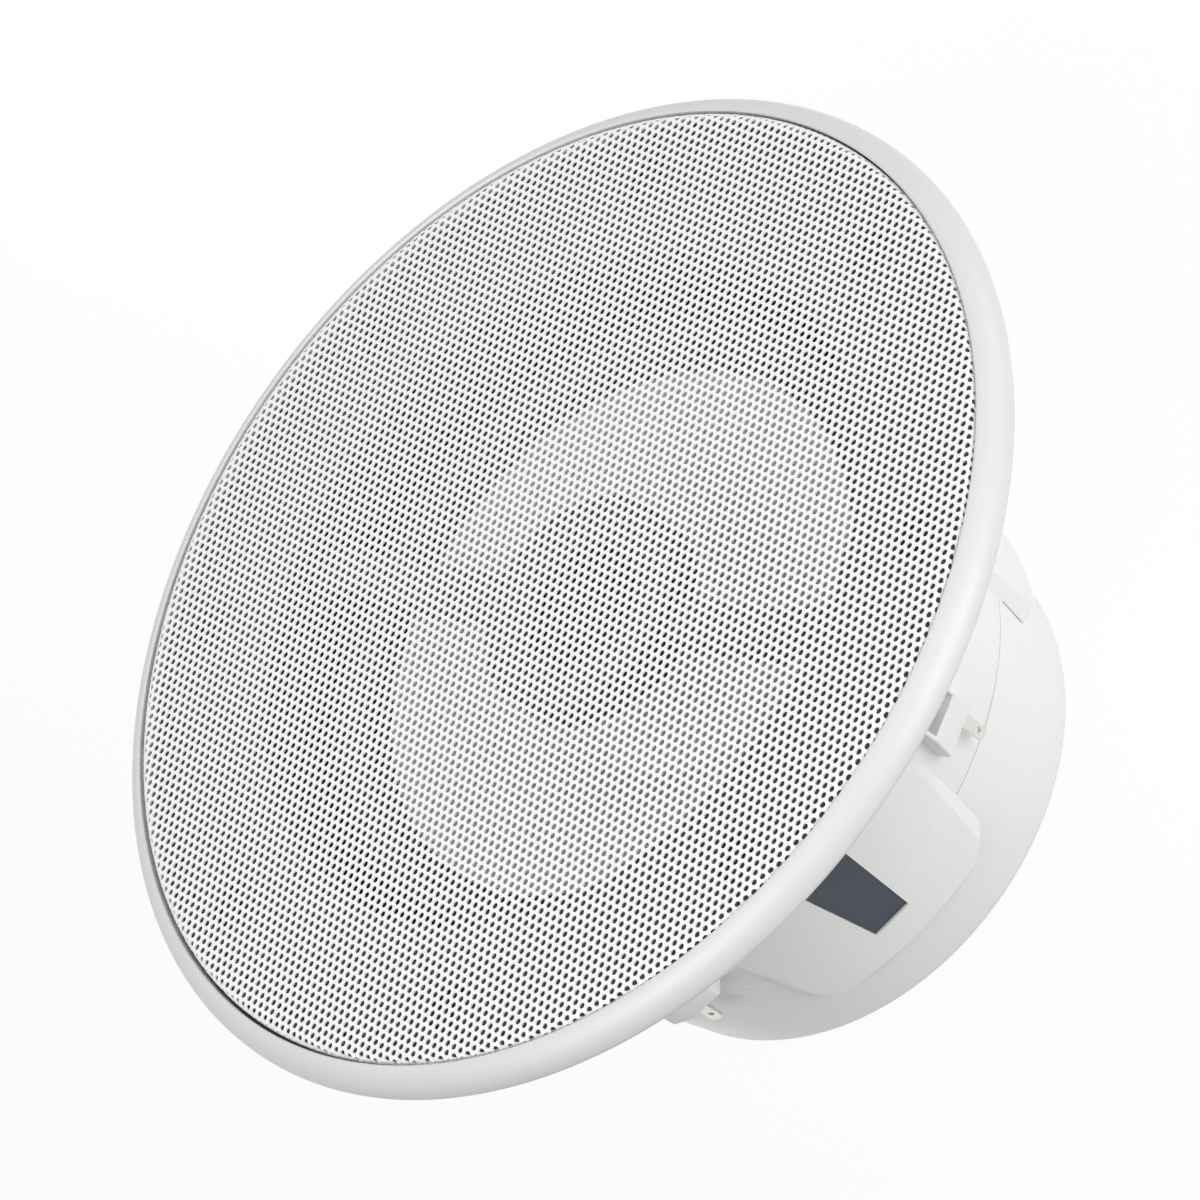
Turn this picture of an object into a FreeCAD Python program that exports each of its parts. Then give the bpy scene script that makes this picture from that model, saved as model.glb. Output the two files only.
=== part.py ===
import FreeCAD, Part
import math
import os

import Sketcher
from FreeCAD import Placement, Rotation, Vector

# A flush-mount marine loudspeaker. The axis is Z, out of the face, and the origin is
# the centre of the flange's rear face, which seats on the panel. Lengths are in mm,
# angles in degrees, and depths are measured rearward from the seating plane.

SIZES = {
    # Bezel: the rounded ring that frames the grille
    "bezel_radius": 111.0,
    "bezel_width": 4.94,
    "bezel_edge": 1.6,
    "bezel_skirt": 7.0,
    "bezel_ledge": 1.0,
    "bezel_ledge_width": 5.6,
    "lip_rise": 3.2,
    "lip_bevel": 0.35,
    # Grille: a domed sheet with a rolled edge, standing on the bezel's ledge
    "grille_gap": 0.76,
    "grille_sheet": 0.5,
    "grille_skirt": 0.87,
    "grille_bend": 2.7,
    "grille_dome": 1.73,
    "perforation_radius": 5.05,
    "perforation_margin": 4.4,
    "perforation_angle": 49.76,
    # Basket: flange, neck, shoulder, tapered wall and floor
    "flange_thickness": 3.2,
    "neck_radius": 79.0,
    "neck_wall": 3.0,
    "neck_depth": 17.0,
    "ledge_depth": 15.0,
    "ledge_width": 5.5,
    "ledge_thickness": 3.0,
    "shoulder_depth": 26.0,
    "seam_radius": 63.8,
    "seam_depth": 61.6,
    "wall_draft": 10.29,
    "basket_wall": 2.5,
    "floor_thickness": 3.0,
    "floor_hole_radius": 30.0,
    "spider_ring_width": 4.5,
    "spider_ring_height": 3.6,
    # Fixing holes in the flange, under the grille
    "fixing_inset": 11.0,
    "fixing_hole_radius": 2.6,
    "fixing_head_radius": 5.0,
    "fixing_head_depth": 1.4,
    "fixing_count": 8,
    # Legs: raised pads on the wall that run over the cover
    "leg_count": 4,
    "leg_rear_depth": 77.0,
    "leg_front_depth": 24.0,
    "leg_stand": 2.115,
    "leg_draft": 7.09,
    "leg_rear_half_width": 20.3,
    "leg_front_half_width": 30.7,
    "leg_side_slope": 0.67,
    "leg_corner": 4.0,
    "leg_rear_bevel": 1.6,
    "leg_embed": 1.0,
    "cover_clearance": 0.15,
    # Trapezoid panels let into the legs
    "window_front_depth": 40.7,
    "window_length": 26.0,
    "window_front_half_width": 6.4,
    "window_rear_half_width": 4.6,
    "window_pocket": 1.6,
    "insert_recess": 0.6,
    "insert_clearance": 0.08,
    # Terminal shrouds and blades, one on each side of the front leg
    "terminal_angle": 33.0,
    "shroud_half_width": 5.6,
    "shroud_front_depth": 24.0,
    "shroud_ridge_depth": 42.6,
    "shroud_rear_depth": 49.5,
    "shroud_skin_positive": 2.3,
    "shroud_skin_negative": 5.8,
    "shroud_drop_positive": 1.9,
    "shroud_drop_negative": 0.4,
    "shroud_bevel_depth": 27.0,
    "shroud_bevel_start": 0.8,
    "shroud_bevel_drop": 3.7,
    "shroud_embed": 0.8,
    "slot_half_width": 4.5,
    "slot_front_depth": 28.0,
    "slot_rear_depth": 41.5,
    "tab_stand": 0.32,
    "tab_thickness": 0.8,
    "tab_width": 2.8,
    "tab_offset": 2.65,
    "tab_front_depth": 38.0,
    "tab_rear_depth_positive": 56.6,
    "tab_rear_depth_negative": 60.0,
    "tab_hole_radius": 0.65,
    "tab_hole_inset": 2.4,
    "tab_bevel": 0.6,
    "tab_clearance": 0.05,
    # Rear cover over the magnet
    "cover_gap": 0.3,
    "cover_round": 3.5,
    "cover_wall": 2.5,
    "cover_dish_radius": 40.0,
    "cover_dish_depth": 0.8,
    "cover_boss_radius": 18.0,
    "cover_boss_width": 10.0,
    "cover_boss_height": 2.5,
    # Magnet system
    "top_plate_radius": 48.0,
    "top_plate_thickness": 6.0,
    "magnet_radius": 50.0,
    "magnet_bore_radius": 26.0,
    "magnet_height": 16.0,
    "back_plate_radius": 48.0,
    "back_plate_thickness": 6.0,
    "pole_radius": 18.2,
    "pole_vent_radius": 5.0,
    "coil_clearance": 0.6,
    "former_clearance": 0.5,
    "magnet_screw_count": 4,
    "magnet_screw_radius": 1.9,
    "magnet_screw_head_radius": 3.6,
    "magnet_screw_head_height": 1.8,
    "magnet_screw_bite": 4.5,
    # Moving parts of the woofer
    "former_wall": 0.3,
    "former_stub": 0.5,
    "former_rear_depth": 72.0,
    "coil_wall": 0.9,
    "coil_height": 14.0,
    "cone_rim_width": 3.0,
    "cone_rim_depth": 18.0,
    "cone_neck_depth": 42.5,
    "cone_paper": 0.9,
    "dust_cap_radius": 22.0,
    "dust_cap_rise": 6.5,
    "dust_cap_paper": 0.6,
    "surround_skin": 0.8,
    "surround_foot": 2.4,
    "surround_width": 9.0,
    "surround_roll_rise": 3.7,
    "glue_gap": 0.1,
    "spider_skin": 0.6,
    "spider_foot": 3.6,
    "spider_drop": 3.9,
    "spider_ripple": 1.0,
    "spider_clearance": 0.3,
    # Tweeter pod and the bridge that carries it
    "bridge_width": 9.0,
    "bridge_depth": 6.0,
    "bridge_height": 7.0,
    "bridge_end_depth": 2.5,
    "bridge_end_height": 5.0,
    "bridge_rise_inset": 1.0,
    "bridge_rise_run": 7.5,
    "bridge_clearance": 0.2,
    "bridge_ring_height": 5.0,
    "pod_radius": 24.0,
    "pod_body_radius": 20.0,
    "pod_depth": 19.0,
    "pod_flange": 2.0,
    "pod_wall": 2.0,
    "faceplate_thickness": 2.0,
    "faceplate_clearance": 0.7,
    "faceplate_flare": 4.4,
    "faceplate_bevel": 0.8,
    "tweeter_dome_radius": 12.9,
    "tweeter_dome_rise": 4.4,
    "tweeter_dome_skin": 0.5,
    "tweeter_dome_clearance": 1.1,
    "tweeter_magnet_radius": 14.0,
    "tweeter_magnet_height": 7.0,
    # Wiring inside the basket
    "capacitor_radius": 5.0,
    "capacitor_height": 20.0,
    "capacitor_clearance": 0.67,
    "capacitor_angle": 150.0,
    "capacitor_bevel": 0.7,
    "lead_radius": 0.6,
    "lead_drop": 2.5,
    "lead_outer_bend": 58.0,
    "lead_inner_bend": 34.0,
    "lead_bend_radius": 12.0,
    # Dark liner of the flange and the neck, under the grille
    "liner_wall": 0.8,
    "liner_clearance": 0.26,
    "liner_hole_clearance": 0.5,
    # Soft ring behind the flange
    "gasket_clearance": 1.0,
    "gasket_width": 9.0,
    "gasket_thickness": 2.0,
}

doc = FreeCAD.newDocument("marine_speaker")
sheet = doc.addObject("Spreadsheet::Sheet", "Sizes")
for row, (name, value) in enumerate(SIZES.items(), start=1):
    sheet.set(f"A{row}", name)
    sheet.set(f"B{row}", str(value))
    sheet.setAlias(f"B{row}", name)
doc.recompute()


class Size:
    """A number together with the sheet expression that gives it."""

    def __init__(self, value, text):
        self.value = value
        self.text = text

    def __add__(self, other):
        other = as_size(other)
        return Size(self.value + other.value, f"({self.text} + {other.text})")

    def __sub__(self, other):
        other = as_size(other)
        return Size(self.value - other.value, f"({self.text} - {other.text})")

    def __mul__(self, other):
        other = as_size(other)
        return Size(self.value * other.value, f"({self.text} * {other.text})")

    def __truediv__(self, other):
        other = as_size(other)
        return Size(self.value / other.value, f"({self.text} / {other.text})")

    def __neg__(self):
        return Size(-self.value, f"(0 - {self.text})")


def as_size(number):
    if isinstance(number, Size):
        return number
    return Size(float(number), str(float(number)))


def size(name):
    return Size(SIZES[name], f"Sizes.{name}")


def tangent(angle):
    return Size(math.tan(math.radians(angle.value)), f"tan({angle.text} * 1 deg)")


def sine(angle):
    return Size(math.sin(math.radians(angle.value)), f"sin({angle.text} * 1 deg)")


def cosine(angle):
    return Size(math.cos(math.radians(angle.value)), f"cos({angle.text} * 1 deg)")


def root(number):
    return Size(math.sqrt(number.value), f"sqrt({number.text})")


ZERO = as_size(0)


# Sketches and features

def origin_feature(body, role):
    return next(item for item in body.Origin.OriginFeatures if item.Role == role)


def arc_middle(start, end, radius, side):
    """Middle point of the short arc from start to end, its centre on the given side."""
    chord = end - start
    middle = (start + end) * 0.5
    left = Vector(-chord.y, chord.x, 0) * (1 / chord.Length)
    rise = math.sqrt(max(radius * radius - chord.Length ** 2 / 4, 0))
    centre = middle + left * (side * rise)
    return centre - left * (side * radius)


def add_sketch(body, name, role):
    sketch = body.newObject("Sketcher::SketchObject", name)
    sketch.AttachmentSupport = [(origin_feature(body, role), "")]
    sketch.MapMode = "FlatFace"
    return sketch


def fix_point(sketch, edge, end, corner, tag):
    """Hold a point at its corner's place, bound to the sheet."""
    for axis, kind, line in ((0, "DistanceX", -2), (1, "DistanceY", -1)):
        place = corner[axis]
        if place is ZERO:
            sketch.addConstraint(Sketcher.Constraint("PointOnObject", edge, end, line))
            continue
        index = sketch.addConstraint(Sketcher.Constraint(kind, edge, end, place.value))
        label = f"{tag}{'xy'[axis]}"
        sketch.renameConstraint(index, label)
        sketch.setExpression(f"Constraints.{label}", place.text)


def draw_outline(sketch, corners, closed=True):
    """Lines through the corners; a corner with a radius and a side starts an arc instead."""
    points = [Vector(corner[0].value, corner[1].value, 0) for corner in corners]
    count = len(corners) if closed else len(corners) - 1
    ends = []
    for number in range(count):
        start = points[number]
        finish = points[(number + 1) % len(points)]
        if len(corners[number]) == 2:
            edge = sketch.addGeometry(Part.LineSegment(start, finish), False)
            ends.append((edge, 1, 2))
            continue
        radius, side = corners[number][2:]
        middle = arc_middle(start, finish, radius.value, side)
        edge = sketch.addGeometry(Part.Arc(start, middle, finish), False)
        forward = sketch.getPoint(edge, 1).distanceToPoint(start) < 1e-6
        ends.append((edge, 1, 2) if forward else (edge, 2, 1))
    for number, (edge, first, last) in enumerate(ends):
        fix_point(sketch, edge, first, corners[number], f"p{number}")
        if closed or number + 1 < count:
            after = ends[(number + 1) % count]
            sketch.addConstraint(Sketcher.Constraint("Coincident", edge, last, after[0], after[1]))
        else:
            fix_point(sketch, edge, last, corners[number + 1], f"p{number + 1}")
        if len(corners[number]) == 4:
            radius = corners[number][2]
            index = sketch.addConstraint(Sketcher.Constraint("Radius", edge, radius.value))
            sketch.renameConstraint(index, f"arc{number}")
            sketch.setExpression(f"Constraints.arc{number}", radius.text)


def draw_circle(sketch, centre, radius, tag="hole"):
    circle = Part.Circle(Vector(centre[0].value, centre[1].value, 0), Vector(0, 0, 1), radius.value)
    edge = sketch.addGeometry(circle, False)
    fix_point(sketch, edge, 3, centre, tag)
    index = sketch.addConstraint(Sketcher.Constraint("Radius", edge, radius.value))
    sketch.renameConstraint(index, f"{tag}_radius")
    sketch.setExpression(f"Constraints.{tag}_radius", radius.text)


def new_body(label):
    body = doc.addObject("PartDesign::Body", label)
    body.Label = label
    body.AllowCompound = True
    return body


def turn(body, name, corners, kind="PartDesign::Revolution"):
    """Turn a section, given as radius and height, about the axis."""
    sketch = add_sketch(body, f"{name}_section", "XZ_Plane")
    draw_outline(sketch, corners)
    feature = body.newObject(kind, name)
    feature.Profile = (sketch, [""])
    feature.ReferenceAxis = (sketch, ["V_Axis"])
    feature.Angle = 360
    body.Tip = feature
    return feature


def groove(body, name, corners):
    return turn(body, name, corners, "PartDesign::Groove")


def turned(label, corners):
    body = new_body(label)
    turn(body, f"{label}_turn", corners)
    return body


def extrude(body, name, sketch, length, kind="PartDesign::Pad", both=False, back=False):
    feature = body.newObject(kind, name)
    feature.Profile = (sketch, [""])
    feature.SideType = "Symmetric" if both else "One side"
    feature.Length = length.value
    feature.setExpression("Length", length.text)
    feature.Reversed = back
    body.Tip = feature
    return feature


def polar(body, name, features, count):
    pattern = body.newObject("PartDesign::PolarPattern", name)
    pattern.Originals = features
    pattern.Axis = (origin_feature(body, "Z_Axis"), [""])
    pattern.Angle = 360
    pattern.Occurrences = int(count.value)
    pattern.setExpression("Occurrences", count.text)
    body.Tip = pattern
    return pattern


def spin_to(body, angle):
    """Turn a whole body about the axis."""
    body.Placement = Placement(Vector(), Rotation(Vector(0, 0, 1), angle.value))
    body.setExpression("Placement.Rotation.Angle", f"{angle.text} * 1 deg")
    return body


def dome_radius(radius, rise):
    return (radius * radius + rise * rise) / (rise * 2)


def ring(inner, outer, low, high):
    return [(inner, low), (outer, low), (outer, high), (inner, high)]


# Shared places

flange_top = size("flange_thickness")
ledge_top = flange_top + size("bezel_ledge")
lip_radius = size("bezel_radius") - size("bezel_width")
lip_height = ledge_top + size("lip_rise")
flange_radius = size("bezel_radius") - size("bezel_skirt")
neck_bore = size("neck_radius") - size("neck_wall")
shelf_radius = neck_bore - size("ledge_width")
shelf = -size("ledge_depth")
seam = -size("seam_depth")
floor_top = seam + size("floor_thickness")
spider_seat = floor_top + size("spider_ring_height")
cone_radius = shelf_radius - size("surround_width")


def wall_radius(height):
    """Outer radius of the tapered wall, which the rear cover carries on."""
    return size("seam_radius") + tangent(size("wall_draft")) * (height - seam)


def wall_bore(height):
    return wall_radius(height) - size("basket_wall")


def leg_radius(height):
    return size("seam_radius") + size("leg_stand") + tangent(size("leg_draft")) * (height - seam)


capacitor_room = (size("capacitor_radius") + size("capacitor_clearance")) * 2
spider_ring_outer = wall_bore(floor_top) - capacitor_room
spider_ring_inner = spider_ring_outer - size("spider_ring_width")


# Bezel

crown_run = size("bezel_width") - size("lip_bevel")
crown_rise = lip_height - size("bezel_edge")
bezel = turned("bezel", [
    (flange_radius, ZERO),
    (size("bezel_radius") - size("bezel_edge"), ZERO, size("bezel_edge"), 1),
    (size("bezel_radius"), size("bezel_edge"), dome_radius(crown_rise, crown_run), 1),
    (lip_radius + size("lip_bevel"), lip_height),
    (lip_radius, lip_height - size("lip_bevel")),
    (lip_radius, ledge_top),
    (lip_radius - size("bezel_ledge_width"), ledge_top),
    (lip_radius - size("bezel_ledge_width"), flange_top),
    (flange_radius, flange_top),
])

# Grille

sheet_wall = size("grille_sheet")
grille_radius = lip_radius - size("grille_gap")
bend_radius = grille_radius - size("grille_bend")
bend_low = ledge_top + size("grille_skirt")
bend_high = bend_low + size("grille_bend")
apex = bend_high + size("grille_dome")
dome_curve = dome_radius(bend_radius, size("grille_dome"))
grille = turned("grille", [
    (ZERO, apex, dome_curve, -1),
    (bend_radius, bend_high, size("grille_bend"), -1),
    (grille_radius, bend_low),
    (grille_radius, ledge_top),
    (grille_radius - sheet_wall, ledge_top),
    (grille_radius - sheet_wall, bend_low, size("grille_bend") - sheet_wall, 1),
    (bend_radius, bend_high - sheet_wall, dome_curve, 1),
    (ZERO, apex - sheet_wall),
])

# Perforation: holes in a triangular lattice, one sixth of it drawn and turned round the centre hole

lattice = [(across, up) for across in range(1, 6) for up in range(5)
           if across * across + across * up + up * up <= 28]
lattice_reach = root(as_size(28))
hole_room = size("perforation_margin") + size("perforation_radius")
hole_pitch = (bend_radius - hole_room) / lattice_reach
row = size("perforation_angle")
next_row = row + 60
sixth_sketch = add_sketch(grille, "perforation_sketch", "XY_Plane")
for number, (across, up) in enumerate(lattice):
    place_x = hole_pitch * (cosine(row) * across + cosine(next_row) * up)
    place_y = hole_pitch * (sine(row) * across + sine(next_row) * up)
    draw_circle(sixth_sketch, (place_x, place_y), size("perforation_radius"), f"hole{number}")
sixth = extrude(grille, "perforation", sixth_sketch, apex * 2, "PartDesign::Pocket", back=True)
polar(grille, "perforation_set", [sixth], as_size(6))
centre_sketch = add_sketch(grille, "centre_hole_sketch", "XY_Plane")
draw_circle(centre_sketch, (ZERO, ZERO), size("perforation_radius"))
extrude(grille, "centre_hole", centre_sketch, apex * 2, "PartDesign::Pocket", back=True)

# Basket shell: flange, neck, shoulder, tapered wall and floor

shoulder = -size("shoulder_depth")
shell = turned("basket_shell", [
    (flange_radius, flange_top),
    (neck_bore, flange_top),
    (neck_bore, shelf),
    (shelf_radius, shelf),
    (shelf_radius, shelf - size("ledge_thickness")),
    (wall_bore(shoulder), shoulder),
    (wall_bore(floor_top), floor_top),
    (spider_ring_outer, floor_top),
    (spider_ring_outer, spider_seat),
    (spider_ring_inner, spider_seat),
    (spider_ring_inner, floor_top),
    (size("floor_hole_radius"), floor_top),
    (size("floor_hole_radius"), seam),
    (size("seam_radius"), seam),
    (wall_radius(shoulder), shoulder),
    (size("neck_radius"), -size("neck_depth")),
    (size("neck_radius"), ZERO),
    (flange_radius, ZERO),
])
fixing_place = (flange_radius - size("fixing_inset"), ZERO)
fixing_sketch = add_sketch(shell, "fixing_sketch", "XY_Plane")
draw_circle(fixing_sketch, fixing_place, size("fixing_hole_radius"))
fixing_hole = extrude(shell, "fixing_hole", fixing_sketch, flange_top, "PartDesign::Pocket", back=True)
polar(shell, "fixing_holes", [fixing_hole], size("fixing_count"))
head_sketch = add_sketch(shell, "fixing_head_sketch", "XY_Plane")
head_floor = flange_top - size("fixing_head_depth")
head_sketch.AttachmentOffset = Placement(Vector(0, 0, head_floor.value), Rotation())
head_sketch.setExpression("AttachmentOffset.Base.z", head_floor.text)
draw_circle(head_sketch, fixing_place, size("fixing_head_radius"))
head_pocket = extrude(shell, "fixing_head", head_sketch, size("fixing_head_depth"),
                      "PartDesign::Pocket", back=True)
polar(shell, "fixing_heads", [head_pocket], size("fixing_count"))
screw_place = ((size("floor_hole_radius") + spider_ring_inner) / 2, ZERO)
screw_hole_sketch = add_sketch(shell, "screw_hole_sketch", "XY_Plane")
screw_hole_sketch.AttachmentOffset = Placement(Vector(0, 0, seam.value), Rotation())
screw_hole_sketch.setExpression("AttachmentOffset.Base.z", seam.text)
draw_circle(screw_hole_sketch, screw_place, size("magnet_screw_radius"))
screw_hole = extrude(shell, "screw_hole", screw_hole_sketch, size("floor_thickness"),
                     "PartDesign::Pocket", back=True)
polar(shell, "screw_holes", [screw_hole], size("magnet_screw_count"))


# Basket legs: bevelled pads lofted outward, trimmed to their own cone and to the cover

LEG_TOOL_INNER = as_size(10)
LEG_TOOL_OUTER = as_size(12)
LEG_TOOL_END = as_size(3)


def leg_outline(outward):
    """Leg outline on a plane that lies outward of the seam radius."""
    inset = size("leg_side_slope") * outward
    rear = size("leg_rear_half_width") - inset
    front = size("leg_front_half_width") - inset
    rear_height = -size("leg_rear_depth")
    front_height = -size("leg_front_depth")
    corner = size("leg_corner")
    return [
        (rear - corner, rear_height),
        (rear, rear_height + corner),
        (front, front_height),
        (-front, front_height),
        (-rear, rear_height + corner),
        (corner - rear, rear_height),
    ]


def leg_sketch(body, name, outward):
    sketch = add_sketch(body, name, "XZ_Plane")
    distance = size("seam_radius") + outward
    sketch.AttachmentOffset = Placement(Vector(0, 0, distance.value), Rotation())
    sketch.setExpression("AttachmentOffset.Base.z", distance.text)
    draw_outline(sketch, leg_outline(outward))
    return sketch


legs = new_body("basket_legs")
leg_inner_sketch = leg_sketch(legs, "leg_inner", -LEG_TOOL_INNER)
leg_outer_sketch = leg_sketch(legs, "leg_outer", LEG_TOOL_OUTER)
leg = legs.newObject("PartDesign::AdditiveLoft", "leg")
leg.Profile = (leg_inner_sketch, [""])
leg.Sections = [(leg_outer_sketch, [""])]
leg.Ruled = True
legs.Tip = leg
polar(legs, "leg_set", [leg], size("leg_count"))

leg_rear = -size("leg_rear_depth")
leg_front = -size("leg_front_depth")
leg_reach = size("seam_radius") + LEG_TOOL_OUTER * 2
leg_past_rear = leg_rear - LEG_TOOL_END
leg_past_front = leg_front + LEG_TOOL_END
bevel_height = leg_rear + size("leg_rear_bevel")
groove(legs, "leg_face", [
    (leg_radius(leg_rear) - size("leg_rear_bevel"), leg_rear),
    (leg_radius(bevel_height), bevel_height),
    (leg_radius(leg_past_front), leg_past_front),
    (leg_reach, leg_past_front),
    (leg_reach, leg_past_rear),
    (leg_radius(leg_rear) - size("leg_rear_bevel"), leg_past_rear),
])
groove(legs, "leg_back", [
    (ZERO, leg_past_rear),
    (wall_radius(leg_past_rear) + size("cover_clearance"), leg_past_rear),
    (wall_radius(seam) + size("cover_clearance"), seam),
    (wall_radius(seam) - size("leg_embed"), seam),
    (wall_radius(leg_past_front) - size("leg_embed"), leg_past_front),
    (ZERO, leg_past_front),
])


def window_outline(clearance):
    front = size("window_front_half_width") - clearance
    rear = size("window_rear_half_width") - clearance
    return [
        (-front, -clearance),
        (-rear, clearance - size("window_length")),
        (rear, clearance - size("window_length")),
        (front, -clearance),
    ]


def window_sketch(body, name, depth, clearance):
    """A plane that touches the front leg along its middle line, sunk by the given depth."""
    sketch = add_sketch(body, name, "XZ_Plane")
    tilt = size("leg_draft")
    height = -size("window_front_depth")
    low = height + sine(tilt) * depth
    reach = leg_radius(height) - cosine(tilt) * depth
    sketch.AttachmentOffset = Placement(Vector(0, low.value, reach.value), Rotation(Vector(1, 0, 0), tilt.value))
    sketch.setExpression("AttachmentOffset.Base.y", low.text)
    sketch.setExpression("AttachmentOffset.Base.z", reach.text)
    sketch.setExpression("AttachmentOffset.Rotation.Angle", f"{tilt.text} * 1 deg")
    draw_outline(sketch, window_outline(clearance))
    return sketch


windows = new_body("windows")
window = extrude(windows, "window", window_sketch(windows, "window_sketch", ZERO, ZERO),
                 size("window_pocket"), back=True)
polar(windows, "window_set", [window], size("leg_count"))

inserts = new_body("leg_inserts")
insert_sketch = window_sketch(inserts, "insert_sketch", size("window_pocket"), size("insert_clearance"))
insert = extrude(inserts, "insert", insert_sketch, size("window_pocket") - size("insert_recess"))
polar(inserts, "insert_set", [insert], size("leg_count"))


# Terminals: a shroud moulded on the wall, an opening through it and a blade behind it

def terminal_turn(side):
    return as_size(-90) + size("terminal_angle") * side


def side_block(label, corners, width):
    """A block drawn in the plane of the axis, as wide each side of it as given."""
    body = new_body(label)
    sketch = add_sketch(body, f"{label}_sketch", "XZ_Plane")
    draw_outline(sketch, corners)
    extrude(body, f"{label}_pad", sketch, width * 2, both=True)
    return body


shroud_front = -size("shroud_front_depth")
shroud_ridge = -size("shroud_ridge_depth")
shroud_rear = -size("shroud_rear_depth")
slot_front = -size("slot_front_depth")
slot_rear = -size("slot_rear_depth")
SLOT_TOOL_END = as_size(6)
tab_reach = wall_radius(-size("tab_front_depth")) + size("tab_stand")
solder_depth = size("tab_front_depth") + size("tab_hole_inset")


def shroud_reach(name):
    return tab_reach + size("tab_thickness") + size(f"shroud_skin_{name}")


def terminal_shroud(name, side):
    reach = shroud_reach(name)
    body = side_block(f"shroud_{name}", [
        (wall_bore(shroud_front) + size("shroud_embed"), shroud_front),
        (reach, shroud_front),
        (reach, shroud_ridge),
        (reach - size(f"shroud_drop_{name}"), shroud_rear),
        (wall_bore(shroud_rear) + size("shroud_embed"), shroud_rear),
    ], size("shroud_half_width"))
    return spin_to(body, terminal_turn(side))


def terminal_slot(name, side):
    body = side_block(f"slot_{name}", ring(
        wall_bore(slot_rear) - SLOT_TOOL_END, shroud_reach(name) + SLOT_TOOL_END, slot_rear, slot_front,
    ), size("slot_half_width"))
    return spin_to(body, terminal_turn(side))


def shroud_bevel(name, side):
    """Cutter for the deep shroud's edge towards the leg."""
    body = new_body(f"bevel_{name}")
    top = shroud_reach(name)
    low = top - size("shroud_bevel_drop")
    start = size("shroud_bevel_start") * side
    finish = -size("shroud_half_width") * side
    sketch = add_sketch(body, f"bevel_{name}_sketch", "XY_Plane")
    front = -size("shroud_bevel_depth")
    sketch.AttachmentOffset = Placement(Vector(0, 0, front.value), Rotation())
    sketch.setExpression("AttachmentOffset.Base.z", front.text)
    draw_outline(sketch, [
        (top, start),
        (low, finish),
        (low, finish * 2),
        (top + SLOT_TOOL_END, finish * 2),
        (top + SLOT_TOOL_END, start),
    ])
    extrude(body, f"bevel_{name}_pad", sketch, size("shroud_rear_depth"), back=True)
    return spin_to(body, terminal_turn(side))


def tab_sketch(body, name, reach):
    sketch = add_sketch(body, name, "YZ_Plane")
    sketch.AttachmentOffset = Placement(Vector(0, 0, reach.value), Rotation())
    sketch.setExpression("AttachmentOffset.Base.z", reach.text)
    return sketch


def terminal_slit(name, side):
    body = new_body(f"slit_{name}")
    clearance = size("tab_clearance")
    middle = size("tab_offset") * side
    half = size("tab_width") / 2 + clearance
    sketch = tab_sketch(body, f"slit_{name}_sketch", tab_reach - clearance)
    draw_outline(sketch, ring(middle - half, middle + half, shroud_rear - half, slot_rear + half))
    extrude(body, f"slit_{name}_pad", sketch, size("tab_thickness") + clearance * 2)
    return spin_to(body, terminal_turn(side))


def terminal_tab(name, side):
    label = f"terminal_tab_{name}"
    body = new_body(label)
    middle = size("tab_offset") * side
    half = size("tab_width") / 2
    bevel = size("tab_bevel")
    front = -size("tab_front_depth")
    rear = -size(f"tab_rear_depth_{name}")
    sketch = tab_sketch(body, f"{label}_sketch", tab_reach)
    draw_outline(sketch, [
        (middle - half, front),
        (middle - half, rear + bevel),
        (middle - half + bevel, rear),
        (middle + half - bevel, rear),
        (middle + half, rear + bevel),
        (middle + half, front),
    ])
    extrude(body, f"{label}_blade", sketch, size("tab_thickness"))
    for tag, height in (("plug", rear + size("tab_hole_inset")), ("solder", front - size("tab_hole_inset"))):
        hole_sketch = tab_sketch(body, f"{label}_{tag}_sketch", tab_reach)
        draw_circle(hole_sketch, (middle, height), size("tab_hole_radius"))
        extrude(body, f"{label}_{tag}_hole", hole_sketch, size("tab_thickness"), "PartDesign::Pocket", back=True)
    return spin_to(body, terminal_turn(side))


RIGHT = 1
LEFT = -1
SIDES = (("positive", RIGHT), ("negative", LEFT))
tabs = [terminal_tab(name, side) for name, side in SIDES]

basket_whole = doc.addObject("Part::MultiFuse", "basket_whole")
basket_whole.Shapes = [shell, legs] + [terminal_shroud(name, side) for name, side in SIDES]
basket_openings = doc.addObject("Part::MultiFuse", "basket_openings")
basket_openings.Shapes = [windows, shroud_bevel("negative", LEFT)] + [
    tool(name, side) for tool in (terminal_slot, terminal_slit) for name, side in SIDES
]
basket = doc.addObject("Part::Cut", "basket")
basket.Base = basket_whole
basket.Tool = basket_openings
basket.Label = "basket"

# Rear cover

back_plate_rear = seam - size("top_plate_thickness") - size("magnet_height") - size("back_plate_thickness")
cover_floor = back_plate_rear - size("cover_boss_height")
dish = cover_floor - size("cover_wall")
cover_back = dish - size("cover_dish_depth")
cover_turn = cover_back + size("cover_round")
cover_front = seam - size("cover_gap")
boss_outer = size("cover_boss_radius") + size("cover_boss_width")
rear_cover = turned("rear_cover", [
    (wall_radius(cover_front) - size("cover_wall"), cover_front),
    (wall_radius(cover_floor) - size("cover_wall"), cover_floor),
    (boss_outer, cover_floor),
    (boss_outer, back_plate_rear),
    (size("cover_boss_radius"), back_plate_rear),
    (size("cover_boss_radius"), cover_floor),
    (ZERO, cover_floor),
    (ZERO, dish),
    (size("cover_dish_radius"), dish),
    (size("cover_dish_radius"), cover_back),
    (wall_radius(cover_turn) - size("cover_round"), cover_back, size("cover_round"), 1),
    (wall_radius(cover_turn), cover_turn),
    (wall_radius(cover_front), cover_front),
])

# Magnet system

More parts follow.
